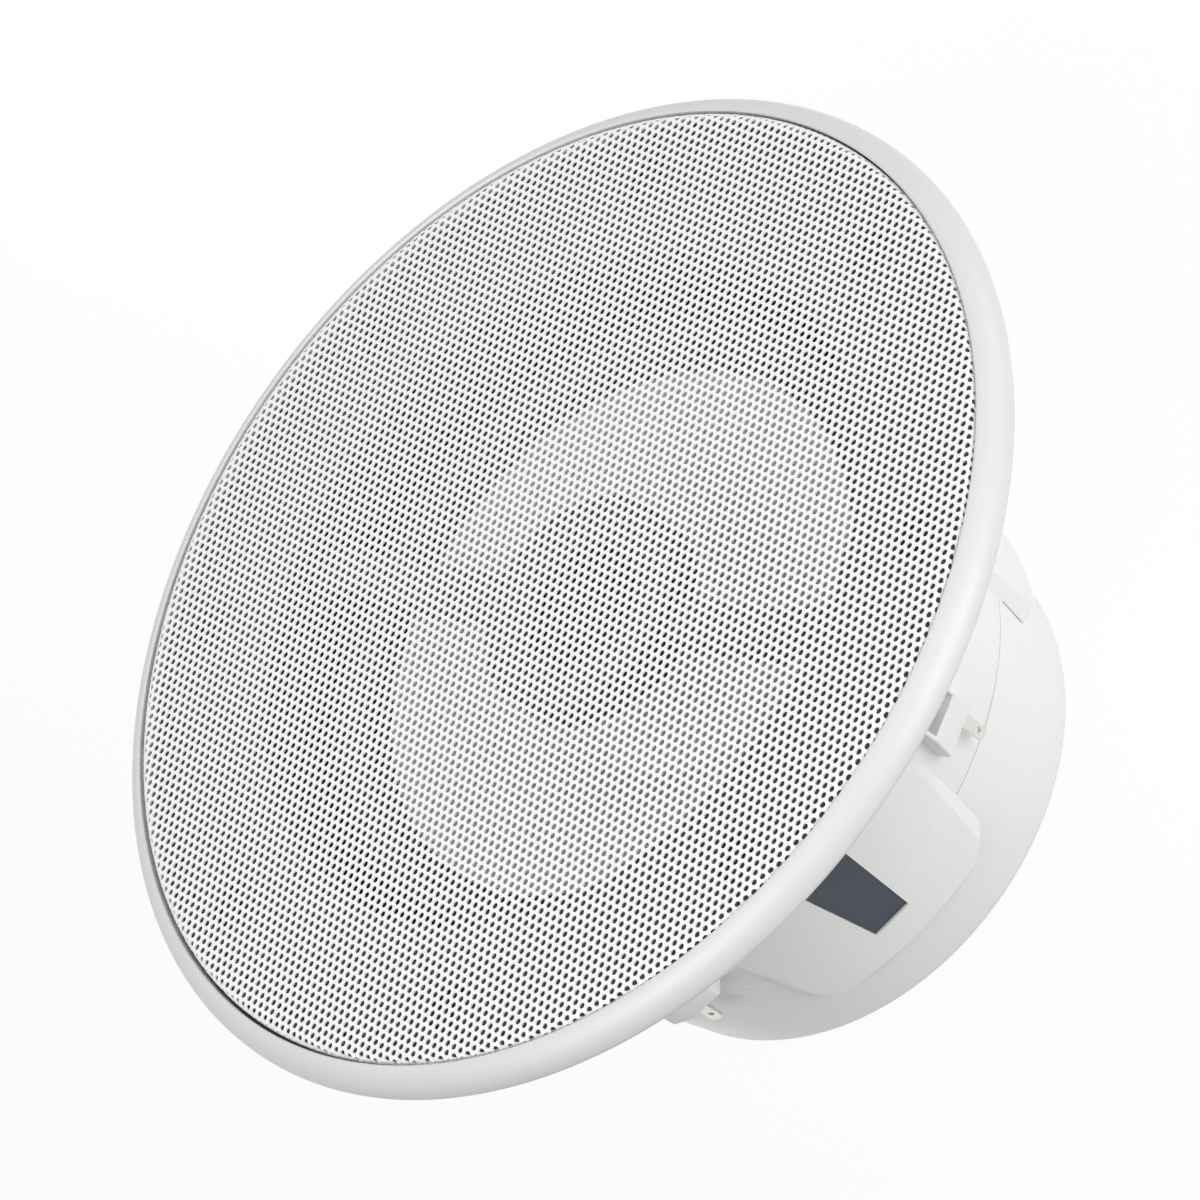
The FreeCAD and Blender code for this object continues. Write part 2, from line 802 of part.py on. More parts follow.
former_bore = size("pole_radius") + size("former_clearance")
former_radius = former_bore + size("former_wall")
coil_radius = former_radius + size("coil_wall")
plate_rear = seam - size("top_plate_thickness")
magnet_rear = plate_rear - size("magnet_height")
top_plate = turned("top_plate", ring(
    coil_radius + size("coil_clearance"), size("top_plate_radius"), plate_rear, seam))
plate_hole_sketch = add_sketch(top_plate, "plate_hole_sketch", "XY_Plane")
screw_tip = seam - size("magnet_screw_bite")
plate_hole_sketch.AttachmentOffset = Placement(Vector(0, 0, screw_tip.value), Rotation())
plate_hole_sketch.setExpression("AttachmentOffset.Base.z", screw_tip.text)
draw_circle(plate_hole_sketch, screw_place, size("magnet_screw_radius"))
plate_hole = extrude(top_plate, "plate_hole", plate_hole_sketch, size("magnet_screw_bite"),
                     "PartDesign::Pocket", back=True)
polar(top_plate, "plate_holes", [plate_hole], size("magnet_screw_count"))
magnet_ring = turned("magnet_ring", ring(
    size("magnet_bore_radius"), size("magnet_radius"), magnet_rear, plate_rear))
back_plate = turned("back_plate", [
    (size("pole_vent_radius"), back_plate_rear),
    (size("back_plate_radius"), back_plate_rear),
    (size("back_plate_radius"), magnet_rear),
    (size("pole_radius"), magnet_rear),
    (size("pole_radius"), seam),
    (size("pole_vent_radius"), seam),
])
magnet_screws = new_body("magnet_screws")
shank_sketch = add_sketch(magnet_screws, "shank_sketch", "XY_Plane")
shank_sketch.AttachmentOffset = Placement(Vector(0, 0, screw_tip.value), Rotation())
shank_sketch.setExpression("AttachmentOffset.Base.z", screw_tip.text)
draw_circle(shank_sketch, screw_place, size("magnet_screw_radius"))
shank = extrude(magnet_screws, "shank", shank_sketch, floor_top - screw_tip)
screw_head_sketch = add_sketch(magnet_screws, "screw_head_sketch", "XY_Plane")
screw_head_sketch.AttachmentOffset = Placement(Vector(0, 0, floor_top.value), Rotation())
screw_head_sketch.setExpression("AttachmentOffset.Base.z", floor_top.text)
draw_circle(screw_head_sketch, screw_place, size("magnet_screw_head_radius"))
screw_head = extrude(magnet_screws, "screw_head", screw_head_sketch, size("magnet_screw_head_height"))
polar(magnet_screws, "screw_set", [shank, screw_head], size("magnet_screw_count"))

# Voice coil, cone and dust cap

neck = -size("cone_neck_depth")
former = turned("voice_coil_former", ring(
    former_bore, former_radius, -size("former_rear_depth"), neck + size("former_stub")))
coil_middle = seam - size("top_plate_thickness") / 2
voice_coil = turned("voice_coil", ring(
    former_radius, coil_radius, coil_middle - size("coil_height") / 2, coil_middle + size("coil_height") / 2))

rim_top = -size("cone_rim_depth")
rim_inner = cone_radius - size("cone_rim_width")
cone_slope = (rim_top - neck) / (rim_inner - former_radius)


def cone_face(radius):
    return neck + cone_slope * (radius - former_radius)


cone = turned("cone", [
    (former_radius, neck),
    (rim_inner, rim_top),
    (cone_radius, rim_top),
    (cone_radius, rim_top - size("cone_paper")),
    (rim_inner, rim_top - size("cone_paper")),
    (former_radius, neck - size("cone_paper")),
])
cap_radius = size("dust_cap_radius")
cap_inner = cap_radius - size("dust_cap_paper")
cap_top = cone_face(cap_radius) + size("dust_cap_rise")
cap_under = cap_top - size("dust_cap_paper")
dust_cap = turned("dust_cap", [
    (ZERO, cap_top, dome_radius(cap_radius, size("dust_cap_rise")), -1),
    (cap_radius, cone_face(cap_radius)),
    (cap_inner, cone_face(cap_inner), dome_radius(cap_inner, cap_under - cone_face(cap_inner)), 1),
    (ZERO, cap_under),
])

# Liner: a dark ring over the flange's face, with a sleeve down the neck to the surround's foot

shelf_skin = shelf + size("surround_skin")
liner_bore = neck_bore - size("liner_wall")
liner_top = flange_top + size("liner_wall")
liner_outer = lip_radius - size("bezel_ledge_width") - size("liner_clearance")
front_liner = turned("front_liner", [
    (liner_bore, shelf_skin),
    (neck_bore, shelf_skin),
    (neck_bore, flange_top),
    (liner_outer, flange_top),
    (liner_outer, liner_top),
    (liner_bore, liner_top),
])
liner_sketch = add_sketch(front_liner, "liner_hole_sketch", "XY_Plane")
liner_sketch.AttachmentOffset = Placement(Vector(0, 0, flange_top.value), Rotation())
liner_sketch.setExpression("AttachmentOffset.Base.z", flange_top.text)
draw_circle(liner_sketch, fixing_place, size("fixing_head_radius") + size("liner_hole_clearance"))
liner_hole = extrude(front_liner, "liner_hole", liner_sketch, size("liner_wall"), "PartDesign::Pocket", back=True)
polar(front_liner, "liner_holes", [liner_hole], size("fixing_count"))

# Surround: flat feet on the cone's rim and on the shelf, and a roll between them

skin = size("surround_skin")
foot_low = rim_top + size("glue_gap")
foot_high = foot_low + skin
roll_start = cone_radius
roll_end = shelf_radius + skin


def roll_curve(run):
    """Radius of a roll that rises as given over a chord with this run."""
    chord = root(run * run + (shelf_skin - foot_high) * (shelf_skin - foot_high))
    return dome_radius(chord / 2, size("surround_roll_rise"))


roll_run = roll_end - roll_start
inner_run = roll_run - skin * 2
surround = turned("surround", [
    (roll_start - size("surround_foot"), foot_low),
    (roll_start + skin, foot_low, roll_curve(inner_run), -1),
    (roll_end - skin, shelf),
    (neck_bore, shelf),
    (neck_bore, shelf_skin),
    (roll_end, shelf_skin, roll_curve(roll_run), 1),
    (roll_start, foot_high),
    (roll_start - size("surround_foot"), foot_high),
])

# Spider: a rippled disc from the former to its ring on the floor

spider_skin = size("spider_skin")
spider_inner = former_radius + size("spider_clearance")
lead_height = neck - size("cone_paper") - size("lead_drop") - size("lead_radius")
spider_high = lead_height - size("lead_radius") - size("spider_drop") - spider_skin
RIPPLES = 6
ripple_start = spider_inner + size("spider_foot")
ripple_end = spider_ring_inner
ripple_step = (ripple_end - ripple_start) / (RIPPLES + 1)
spider_line = [(spider_inner, spider_high), (ripple_start, spider_high)]
for number in range(1, RIPPLES + 1):
    share = as_size(number) / (RIPPLES + 1)
    wave = size("spider_ripple") * (1 if number % 2 else -1)
    middle = spider_high - (spider_high - spider_seat) * share
    spider_line.append((ripple_start + ripple_step * number, middle + wave))
spider_line += [(ripple_end, spider_seat), (spider_ring_outer, spider_seat)]
spider_top = [(radius, height + spider_skin) for radius, height in reversed(spider_line)]
spider = turned("spider", spider_line + spider_top)

# Tweeter pod and its bridge

bridge_top = -size("bridge_depth")
bridge_low = bridge_top - size("bridge_height")
end_top = -size("bridge_end_depth")
end_low = end_top - size("bridge_end_height")
rise_end = cone_radius - size("bridge_rise_inset")
bend = rise_end - size("bridge_rise_run")
foot_outer = liner_bore - size("bridge_clearance")
foot_inner = roll_end + size("bridge_clearance")
half_bridge = [
    (bend, bridge_low),
    (rise_end, end_low),
    (foot_inner, end_low),
    (foot_inner, shelf_skin),
    (foot_outer, shelf_skin),
    (foot_outer, end_top),
    (rise_end, end_top),
    (bend, bridge_top),
]
bridge = side_block(
    "tweeter_bridge",
    half_bridge + [(-reach, height) for reach, height in reversed(half_bridge)],
    size("bridge_width") / 2,
)
pod_seat = bridge_low + size("bridge_ring_height")
pod_bore = size("pod_body_radius") + size("bridge_clearance")
turn(bridge, "bridge_ring", ring(pod_bore, size("pod_radius"), bridge_low, pod_seat))
groove(bridge, "bridge_bore", [
    (ZERO, bridge_low - size("bridge_height")),
    (pod_bore, bridge_low - size("bridge_height")),
    (pod_bore, pod_seat),
    (size("pod_radius") + size("bridge_clearance"), pod_seat),
    (size("pod_radius") + size("bridge_clearance"), bridge_top + size("bridge_height")),
    (ZERO, bridge_top + size("bridge_height")),
])
spin_to(bridge, terminal_turn(RIGHT))

pod_back = -size("pod_depth")
pod_front = pod_seat + size("pod_flange")
pod_wall = size("pod_wall")
pod_cavity = size("pod_body_radius") - pod_wall
tweeter_housing = turned("tweeter_housing", [
    (ZERO, pod_back),
    (size("pod_body_radius") - pod_wall, pod_back, pod_wall, 1),
    (size("pod_body_radius"), pod_back + pod_wall),
    (size("pod_body_radius"), pod_seat),
    (size("pod_radius"), pod_seat),
    (size("pod_radius"), pod_front),
    (pod_cavity, pod_front),
    (pod_cavity, pod_back + pod_wall),
    (ZERO, pod_back + pod_wall),
])
tweeter_magnet = turned("tweeter_magnet", [
    (ZERO, pod_back + pod_wall),
    (size("tweeter_magnet_radius"), pod_back + pod_wall),
    (size("tweeter_magnet_radius"), pod_back + pod_wall + size("tweeter_magnet_height")),
    (ZERO, pod_back + pod_wall + size("tweeter_magnet_height")),
])
dome_skin = size("tweeter_dome_skin")
dome_top = pod_front + size("tweeter_dome_rise")
dome_base = size("tweeter_dome_radius")
dome_inner = dome_base - dome_skin
dome_rim = pod_cavity - size("tweeter_dome_clearance")
tweeter_dome = turned("tweeter_dome", [
    (ZERO, dome_top, dome_radius(dome_base, size("tweeter_dome_rise")), -1),
    (dome_base, pod_front),
    (dome_rim, pod_front),
    (dome_rim, pod_front - dome_skin),
    (dome_inner, pod_front - dome_skin, dome_radius(dome_inner, size("tweeter_dome_rise")), 1),
    (ZERO, dome_top - dome_skin),
])
face_top = pod_front + size("faceplate_thickness")
throat = dome_base + size("faceplate_clearance")
face_bevel = size("faceplate_bevel")
tweeter_faceplate = turned("tweeter_faceplate", [
    (throat, pod_front),
    (size("pod_radius"), pod_front),
    (size("pod_radius"), face_top - face_bevel),
    (size("pod_radius") - face_bevel, face_top),
    (throat + size("faceplate_flare"), face_top),
])

# Crossover capacitor, standing on the basket floor

can = size("capacitor_radius")
can_bevel = size("capacitor_bevel")
can_top = floor_top + size("capacitor_height")
capacitor = turned("crossover_capacitor", [
    (ZERO, floor_top),
    (can - can_bevel, floor_top),
    (can, floor_top + can_bevel),
    (can, can_top - can_bevel),
    (can - can_bevel, can_top),
    (ZERO, can_top),
])
can_reach = spider_ring_outer + capacitor_room / 2
can_x = can_reach * cosine(size("capacitor_angle"))
can_y = can_reach * sine(size("capacitor_angle"))
capacitor.Placement = Placement(Vector(can_x.value, can_y.value, 0), Rotation())
capacitor.setExpression("Placement.Base.x", can_x.text)
capacitor.setExpression("Placement.Base.y", can_y.text)


# Leads from the blades to the voice coil

def lead(label, side):
    """A round lead with two bends, in the plane of its blade."""
    body = new_body(label)
    across = size("tab_offset") * side
    start = tab_reach
    finish = former_radius + size("spider_clearance")
    outer = -solder_depth
    inner = lead_height
    far = size("lead_outer_bend")
    near = size("lead_inner_bend")
    spine = add_sketch(body, f"{label}_route", "XZ_Plane")
    spine.AttachmentOffset = Placement(Vector(0, 0, -across.value), Rotation())
    spine.setExpression("AttachmentOffset.Base.z", (-across).text)
    bend_radius = size("lead_bend_radius")
    slant = root((far - near) * (far - near) + (outer - inner) * (outer - inner))
    turn_run = bend_radius * ((outer - inner) / ((far - near) + slant))
    step_x = turn_run * (far - near) / slant
    step_z = turn_run * (outer - inner) / slant
    draw_outline(spine, [
        (start, outer),
        (far + turn_run, outer, bend_radius, 1),
        (far - step_x, outer - step_z),
        (near + step_x, inner + step_z, bend_radius, -1),
        (near - turn_run, inner),
        (finish, inner),
    ], closed=False)
    profile = tab_sketch(body, f"{label}_round", start)
    draw_circle(profile, (across, outer), size("lead_radius"))
    doc.recompute()
    pipe = body.newObject("PartDesign::AdditivePipe", f"{label}_pipe")
    pipe.Profile = (profile, [""])
    pipe.Spine = (spine, [f"Edge{number}" for number in range(1, 6)])
    body.Tip = pipe
    return spin_to(body, terminal_turn(side))


leads = [lead(f"lead_{name}", side) for name, side in SIDES]

# Gasket

gasket_bore = size("neck_radius") + size("gasket_clearance")
gasket = turned("mounting_gasket", ring(
    gasket_bore, gasket_bore + size("gasket_width"), -size("gasket_thickness"), ZERO))

# Check every object, then write each piece

doc.recompute()
PIECES = [
    grille, bezel, basket, front_liner, inserts, *tabs, rear_cover, gasket,
    surround, cone, dust_cap, former, voice_coil, spider,
    top_plate, magnet_ring, back_plate, magnet_screws,
    bridge, tweeter_housing, tweeter_faceplate, tweeter_dome, tweeter_magnet,
    capacitor, *leads,
]
for item in doc.Objects:
    if {"Invalid", "Error"} & set(item.State):
        raise RuntimeError(f"{item.Label} did not build: {item.State}")
for piece in PIECES:
    if piece.Shape.isNull() or not piece.Shape.isValid():
        raise RuntimeError(f"{piece.Label} has no valid shape")
    print(f"{piece.Label}: {len(piece.Shape.Solids)} solids, {piece.Shape.Volume:.1f} mm3")
os.makedirs("parts", exist_ok=True)
for piece in PIECES:
    piece.Shape.exportStep(f"parts/{piece.Label}.step")
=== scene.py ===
import math

import bmesh
import bpy
from mathutils import Matrix, Vector


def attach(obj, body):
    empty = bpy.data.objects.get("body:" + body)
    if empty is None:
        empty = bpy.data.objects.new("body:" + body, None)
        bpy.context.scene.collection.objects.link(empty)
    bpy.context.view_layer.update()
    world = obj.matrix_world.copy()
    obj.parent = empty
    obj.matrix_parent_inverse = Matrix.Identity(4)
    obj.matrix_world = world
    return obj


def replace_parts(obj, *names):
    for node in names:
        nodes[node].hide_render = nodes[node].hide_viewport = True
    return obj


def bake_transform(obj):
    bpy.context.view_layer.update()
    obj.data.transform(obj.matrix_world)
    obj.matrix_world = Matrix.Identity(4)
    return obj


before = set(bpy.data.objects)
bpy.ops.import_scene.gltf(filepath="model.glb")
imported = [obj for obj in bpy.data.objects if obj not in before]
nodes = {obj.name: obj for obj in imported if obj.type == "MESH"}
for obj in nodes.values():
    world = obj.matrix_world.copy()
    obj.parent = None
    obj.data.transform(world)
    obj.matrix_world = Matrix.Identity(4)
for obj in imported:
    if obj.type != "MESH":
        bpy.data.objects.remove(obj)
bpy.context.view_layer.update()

# Motor: a sintered ferrite ring between two steel plates, the rear one turned in one piece
# with its pole. The plates are zinc plated. Four pan-head screws hold them to the basket.


def linear(code):
    """Linear colour of an sRGB hex value."""
    shares = [int(code[start:start + 2], 16) / 255 for start in (1, 3, 5)]
    channels = [
        share / 12.92 if share <= 0.04045 else ((share + 0.055) / 1.055) ** 2.4
        for share in shares
    ]
    return channels + [1.0]


def per_metre(millimetres):
    """Scale of a noise whose grains are as wide as the given size."""
    return 1000.0 / millimetres


def waves_per_metre(millimetres):
    """Scale of a wave texture whose crests stand as far apart as the given size."""
    return 1000.0 / millimetres * math.tau / 20


def blank(name):
    """New material with an empty tree of nodes."""
    material = bpy.data.materials.new(name)
    material.use_nodes = True
    material.node_tree.nodes.clear()
    return material


def add(owner, kind, settings, links):
    """Add a node: settings go to its sockets or properties, links come from other nodes' sockets."""
    node = owner.node_tree.nodes.new("ShaderNode" + kind)
    for key, value in settings.items():
        if isinstance(key, int) or key in node.inputs:
            node.inputs[key].default_value = value
        else:
            setattr(node, key, value)
    for key, socket in links.items():
        owner.node_tree.links.new(socket, node.inputs[key])
    return node


def surface(material, mask, tones, roughness, height, depth, constants):
    """Shader whose colour and gloss follow a mask, with a relief as deep as the given millimetres."""
    low, high = (linear(code) for code in tones)
    colour = add(material, "Mix", {"data_type": "RGBA", 6: low, 7: high}, {0: mask})
    gloss = add(
        material, "MapRange",
        {"From Min": 0.25, "From Max": 0.75, "To Min": roughness[0], "To Max": roughness[1]},
        {"Value": mask})
    relief = add(material, "Bump", {"Strength": 1.0, "Distance": depth / 1000}, {"Height": height})
    shader = add(material, "BsdfPrincipled", constants, {
        "Base Color": colour.outputs[2],
        "Roughness": gloss.outputs["Result"],
        "Normal": relief.outputs["Normal"],
    })
    add(material, "OutputMaterial", {}, {"Surface": shader.outputs[0]})


def dress(node, material):
    """Give a CAD node its material."""
    nodes[node].data.materials.clear()
    nodes[node].data.materials.append(material)


# Zinc-plated steel, turned: fine lathe rings under a cloudy grey film.
zinc = blank("zinc_plated_steel")
place = add(zinc, "TexCoord", {}, {}).outputs["Object"]
lathe_rings = add(
    zinc, "TexWave",
    {"wave_type": "RINGS", "rings_direction": "Z", "Scale": waves_per_metre(0.9), "Distortion": 0.6},
    {"Vector": place})
clouds = add(zinc, "TexNoise", {"Scale": per_metre(12.0), "Detail": 6.0}, {"Vector": place})
surface(
    zinc, clouds.outputs["Fac"], ("#A5A49C", "#D2D2CE"), (0.26, 0.46), lathe_rings.outputs["Fac"], 0.02,
    {"Metallic": 1.0})
# Sintered ferrite, ground: a dull, dark grey ceramic with open pores.
ferrite = blank("sintered_ferrite")
place = add(ferrite, "TexCoord", {}, {}).outputs["Object"]
pores = add(ferrite, "TexVoronoi", {"Scale": per_metre(0.8)}, {"Vector": place})
patches = add(ferrite, "TexNoise", {"Scale": per_metre(7.0), "Detail": 8.0}, {"Vector": place})
surface(
    ferrite, patches.outputs["Fac"], ("#1E1E22", "#3A3A3E"), (0.55, 0.78),
    pores.outputs["Distance"], 0.05, {"IOR": 1.6})
dress("top_plate", zinc)
dress("back_plate", zinc)
dress("magnet_screws", zinc)
dress("magnet_ring", ferrite)

# Basket: one glossy white moulding. A flange carries the bezel, with eight screw holes closed
# by a thin skin. A neck goes through the panel, and a tapered wall runs back to a floor.


def rounded_wire(mesh, corners, closed=True):
    """Wire in the plane of the axis through corners given as radius, height and rounding."""
    points = [mesh.verts.new((radius, 0, height)) for radius, height, rounding in corners]
    for start, end in zip(points, points[1:]):
        mesh.edges.new((start, end))
    if closed:
        mesh.edges.new((points[-1], points[0]))
    for point, (radius, height, rounding) in zip(points, corners):
        if rounding:
            bmesh.ops.bevel(
                mesh, geom=[point], offset=rounding, offset_type="OFFSET", segments=8,
                profile=0.5, affect="VERTICES", material=-1)


def turned(corners, steps, closed=True):
    """Solid of revolution from a rounded wire."""
    mesh = bmesh.new()
    rounded_wire(mesh, corners, closed)
    bmesh.ops.spin(
        mesh, geom=mesh.verts[:] + mesh.edges[:], cent=(0, 0, 0), axis=(0, 0, 1),
        angle=math.tau, steps=steps, use_merge=True)
    bmesh.ops.remove_doubles(mesh, verts=mesh.verts, dist=0.0005)
    bmesh.ops.recalc_face_normals(mesh, faces=mesh.faces)
    return mesh


def repeated(mesh, count):
    """Set copies of a mesh round the axis, at even steps."""
    bmesh.ops.spin(
        mesh, geom=mesh.verts[:] + mesh.edges[:] + mesh.faces[:], cent=(0, 0, 0), axis=(0, 0, 1),
        angle=math.tau * (count - 1) / count, steps=count - 1, use_duplicate=True)


def drilled(mesh, drills):
    """Closed mesh with the drills' shapes cut out of it."""
    parts = []
    for name, shape in (("uncut", mesh), ("drills", drills)):
        data = bpy.data.meshes.new(name)
        shape.to_mesh(data)
        shape.free()
        parts.append(bpy.data.objects.new(name, data))
        bpy.context.scene.collection.objects.link(parts[-1])
    cut = parts[0].modifiers.new("cut", "BOOLEAN")
    cut.operation = "DIFFERENCE"
    cut.solver = "EXACT"
    cut.object = parts[1]
    bpy.context.view_layer.update()
    result = bmesh.new()
    result.from_object(parts[0], bpy.context.evaluated_depsgraph_get())
    for part in parts:
        data = part.data
        bpy.data.objects.remove(part)
        bpy.data.meshes.remove(data)
    return result


def piece(name, mesh, materials, sharp=32.0):
    """Turn a mesh in millimetres into a piece in metres that rides on the frame."""
    bmesh.ops.scale(mesh, vec=(0.001, 0.001, 0.001), verts=mesh.verts)
    data = bpy.data.meshes.new(name)
    mesh.to_mesh(data)
    mesh.free()
    data.shade_smooth()
    data.set_sharp_from_angle(angle=math.radians(sharp))
    for material in materials:
        data.materials.append(material)
    made = bpy.data.objects.new(name, data)
    bpy.context.scene.collection.objects.link(made)
    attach(made, "frame")
    return made


# Glossy white ABS, moulded: even white with a faint flow, and a soft ripple in its gloss.
white_abs = blank("white_abs")
place = add(white_abs, "TexCoord", {}, {}).outputs["Object"]
flow = add(
    white_abs, "TexNoise", {"Scale": per_metre(35.0), "Detail": 3.0, "Distortion": 0.8},
    {"Vector": place})
peel = add(white_abs, "TexNoise", {"Scale": per_metre(2.2), "Detail": 2.0}, {"Vector": place})
surface(
    white_abs, flow.outputs["Fac"], ("#E3E3E1", "#E7E7E6"), (0.20, 0.30), peel.outputs["Fac"], 0.006,
    {"IOR": 1.53})
# Black ABS, spark textured: fine matt grain; on the flange face and bezel seat, painted shade.
black_abs_and_painted_shade = blank("black_abs_and_painted_shade")
place = add(black_abs_and_painted_shade, "TexCoord", {}, {}).outputs["Object"]
haze = add(black_abs_and_painted_shade, "TexNoise", {"Scale": per_metre(16.0), "Detail": 4.0}, {"Vector": place})
spark_grain = add(black_abs_and_painted_shade, "TexNoise", {"Scale": per_metre(0.5), "Detail": 2.0}, {"Vector": place})
surface(
    black_abs_and_painted_shade, haze.outputs["Fac"], ("#4C4C4E", "#5C5C5E"), (0.48, 0.62),
    spark_grain.outputs["Fac"], 0.04, {"IOR": 1.53})
seam_radius = 63.8
seam_height = -61.6
wall_slope = math.tan(math.radians(10.29))


def wall_radius(height):
    """Outside of the tapered wall, which the rear cover carries on."""
    return seam_radius + wall_slope * (height - seam_height)


basket_wall = 2.5
flange_top = 3.2
flange_radius = 104.0
neck_radius = 79.0
neck_bore = 76.0
neck_foot = -17.0
ledge_top = -15.0
ledge_foot = -18.0
ledge_bore = 70.5
shoulder = -26.0
basket_floor = -58.6
spider_seat = -55.0
spider_seat_outer = 50.5
spider_seat_inner = 46.0
motor_bore = 30.0
fine_steps = 240
shell = turned([
    (flange_radius, flange_top, 0),
    (neck_bore, flange_top, 0.6),
    (neck_bore, ledge_top, 0),
    (ledge_bore, ledge_top, 0.4),
    (ledge_bore, ledge_foot, 0),
    (wall_radius(shoulder) - basket_wall, shoulder, 2.0),
    (wall_radius(basket_floor) - basket_wall, basket_floor, 1.0),
    (spider_seat_outer, basket_floor, 0),
    (spider_seat_outer, spider_seat, 0.4),
    (spider_seat_inner, spider_seat, 0.4),
    (spider_seat_inner, basket_floor, 0),
    (motor_bore, basket_floor, 0.4),
    (motor_bore, seam_height, 0),
    (seam_radius, seam_height, 0.3),
    (wall_radius(shoulder), shoulder, 3.0),
    (neck_radius, neck_foot, 2.5),
    (neck_radius, 0.0, 0),
    (flange_radius, 0.0, 0),
], fine_steps)
screw_circle = 93.0
screw_hole = 2.6
screw_head = 5.0
head_floor = 1.8
screw_count = 8
skin_top = 0.6
skin_foot = 0.3
drill_steps = 40
past_face = 1.0
front_drill = [
    (0.0, skin_top, 0),
    (screw_hole, skin_top, 0),
    (screw_hole, head_floor, 0),
    (screw_head, head_floor, 0),
    (screw_head, flange_top + past_face, 0),
    (0.0, flange_top + past_face, 0),
]
rear_drill = [
    (0.0, -past_face, 0),
    (screw_hole, -past_face, 0),
    (screw_hole, skin_foot, 0),
    (0.0, skin_foot, 0),
]
for corners in (front_drill, rear_drill):
    drills = turned(corners, drill_steps, closed=False)
    bmesh.ops.translate(drills, vec=(screw_circle, 0, 0), verts=drills.verts)
    repeated(drills, screw_count)
    shell = drilled(shell, drills)
# Painted shade: what the grille would show of the flange is black.
painted_shade_foot = skin_top - 0.1
painted_shade_inner = neck_bore + 0.4
painted_shade_outer = flange_radius - 0.5
for face in shell.faces:
    middle = face.calc_center_median()
    if painted_shade_foot < middle.z and painted_shade_inner < middle.xy.length < painted_shade_outer:
        face.material_index = 1
terminal_turn = math.radians(33.0)
slot_low = -41.5
slot_high = -28.0
slot_half = 4.5
slot_reach = 52.0
slot_zone_low = -60.0
slot_zone_high = -20.0
for side in (1, -1):
    spin = Matrix.Rotation(terminal_turn * side, 3, "Z")
    outward = spin @ Vector((0, -1, 0))
    across = spin @ Vector((1, 0, 0))
    cuts = [
        (across * slot_half, across),
        (across * -slot_half, across),
        (Vector((0, 0, slot_low)), Vector((0, 0, 1))),
        (Vector((0, 0, slot_high)), Vector((0, 0, 1))),
    ]
    for start, normal in cuts:
        near = []
        for face in shell.faces:
            middle = face.calc_center_median()
            if middle.dot(outward) > slot_reach and slot_zone_low < middle.z < slot_zone_high:
                near.append(face)
        edges = {edge for face in near for edge in face.edges}
        points = {point for face in near for point in face.verts}
        bmesh.ops.bisect_plane(
            shell, geom=near + list(edges) + list(points), dist=0.0001, plane_co=start, plane_no=normal)
    opening = []
    for face in shell.faces:
        middle = face.calc_center_median()
        within = abs(middle.dot(across)) < slot_half and slot_low < middle.z < slot_high
        if within and middle.dot(outward) > slot_reach:
            opening.append(face)
    bmesh.ops.delete(shell, geom=opening, context="FACES")
basket = piece("basket_shell", shell, [white_abs, black_abs_and_painted_shade])
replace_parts(basket, "basket")

# Legs: pads raised on the basket's wall, moulded in one with it, with broad sloping sides.
# Each holds a shallow trapezoid pocket for its slate panel.

leg_rear = -77.0
leg_front = -24.0
leg_bevel = 1.6
leg_rear_half = 20.3
leg_front_half = 30.7
leg_corner = 4.0
leg_lean = (leg_front_half - leg_rear_half) / (leg_front - leg_rear)
leg_strips = 35
leg_rows = range(-72, -24, 8)
leg_count = 4
leg_round = 0.3
skirt_sink = 0.8
skirt_lift = 0.15
side_slope = 0.67
leg_slope = math.tan(math.radians(7.09))
leg_lift = 2.115
window_top = -40.7
window_foot = -66.5
window_half = 6.4
window_taper = 1.8
window_lean = window_taper / (window_top - window_foot)
window_pocket = 1.2
flat_middle = 9.0


def leg_half_width(height):
    """Half the leg's width on the flat plane that touches the seam circle."""
    return leg_rear_half + (height - leg_rear) * leg_lean


def leg_radius(height):
    """Radius of the leg's outer face, which is bevelled at its rear end."""
    bevel = max(leg_rear + leg_bevel - height, 0)
    return seam_radius + leg_lift + leg_slope * (height - seam_height) - bevel


def leg_edge(height, radius):
    """Place of the leg's sloping side where it lies at the given radius."""
    edge = leg_half_width(height)
    for attempt in range(6):
        edge = leg_half_width(height) - side_slope * (math.sqrt(radius ** 2 - edge ** 2) - seam_radius)
    return edge


leg = bmesh.new()
leg_outline = [
    (leg_corner - leg_rear_half, leg_rear),
    (-leg_rear_half, leg_rear + leg_corner),
    (-leg_front_half, leg_front),
    (leg_front_half, leg_front),
    (leg_rear_half, leg_rear + leg_corner),
    (leg_rear_half - leg_corner, leg_rear),
]
leg.faces.new([leg.verts.new((across, 0, height)) for across, height in leg_outline])
cuts = [
    (Vector((window_half, 0, window_top)), Vector((1, 0, -window_lean))),
    (Vector((-window_half, 0, window_top)), Vector((1, 0, window_lean))),
    (Vector((0, 0, window_top)), Vector((0, 0, 1))),
    (Vector((0, 0, window_foot)), Vector((0, 0, 1))),
    (Vector((0, 0, leg_rear + leg_bevel)), Vector((0, 0, 1))),
]
for number in range(1, leg_strips):
    share = 2 * number / leg_strips - 1
    cuts.append((Vector((share * leg_rear_half, 0, leg_rear)), Vector((1, 0, -share * leg_lean))))
cuts += [(Vector((0, 0, height)), Vector((0, 0, 1))) for height in leg_rows]
for start, normal in cuts:
    bmesh.ops.bisect_plane(
        leg, geom=leg.faces[:] + leg.edges[:] + leg.verts[:], dist=0.0001,
        plane_co=start, plane_no=normal)
for point in leg.verts:
    height = point.co.z
    radius = leg_radius(height)
    past = max(abs(point.co.x) - flat_middle, 0)
    spread = (leg_edge(height, radius) - flat_middle) / (leg_half_width(height) - flat_middle) - 1
    point.co.x += math.copysign(past * spread, point.co.x)
    point.co.y = -math.sqrt(radius ** 2 - point.co.x ** 2)
pocket = []
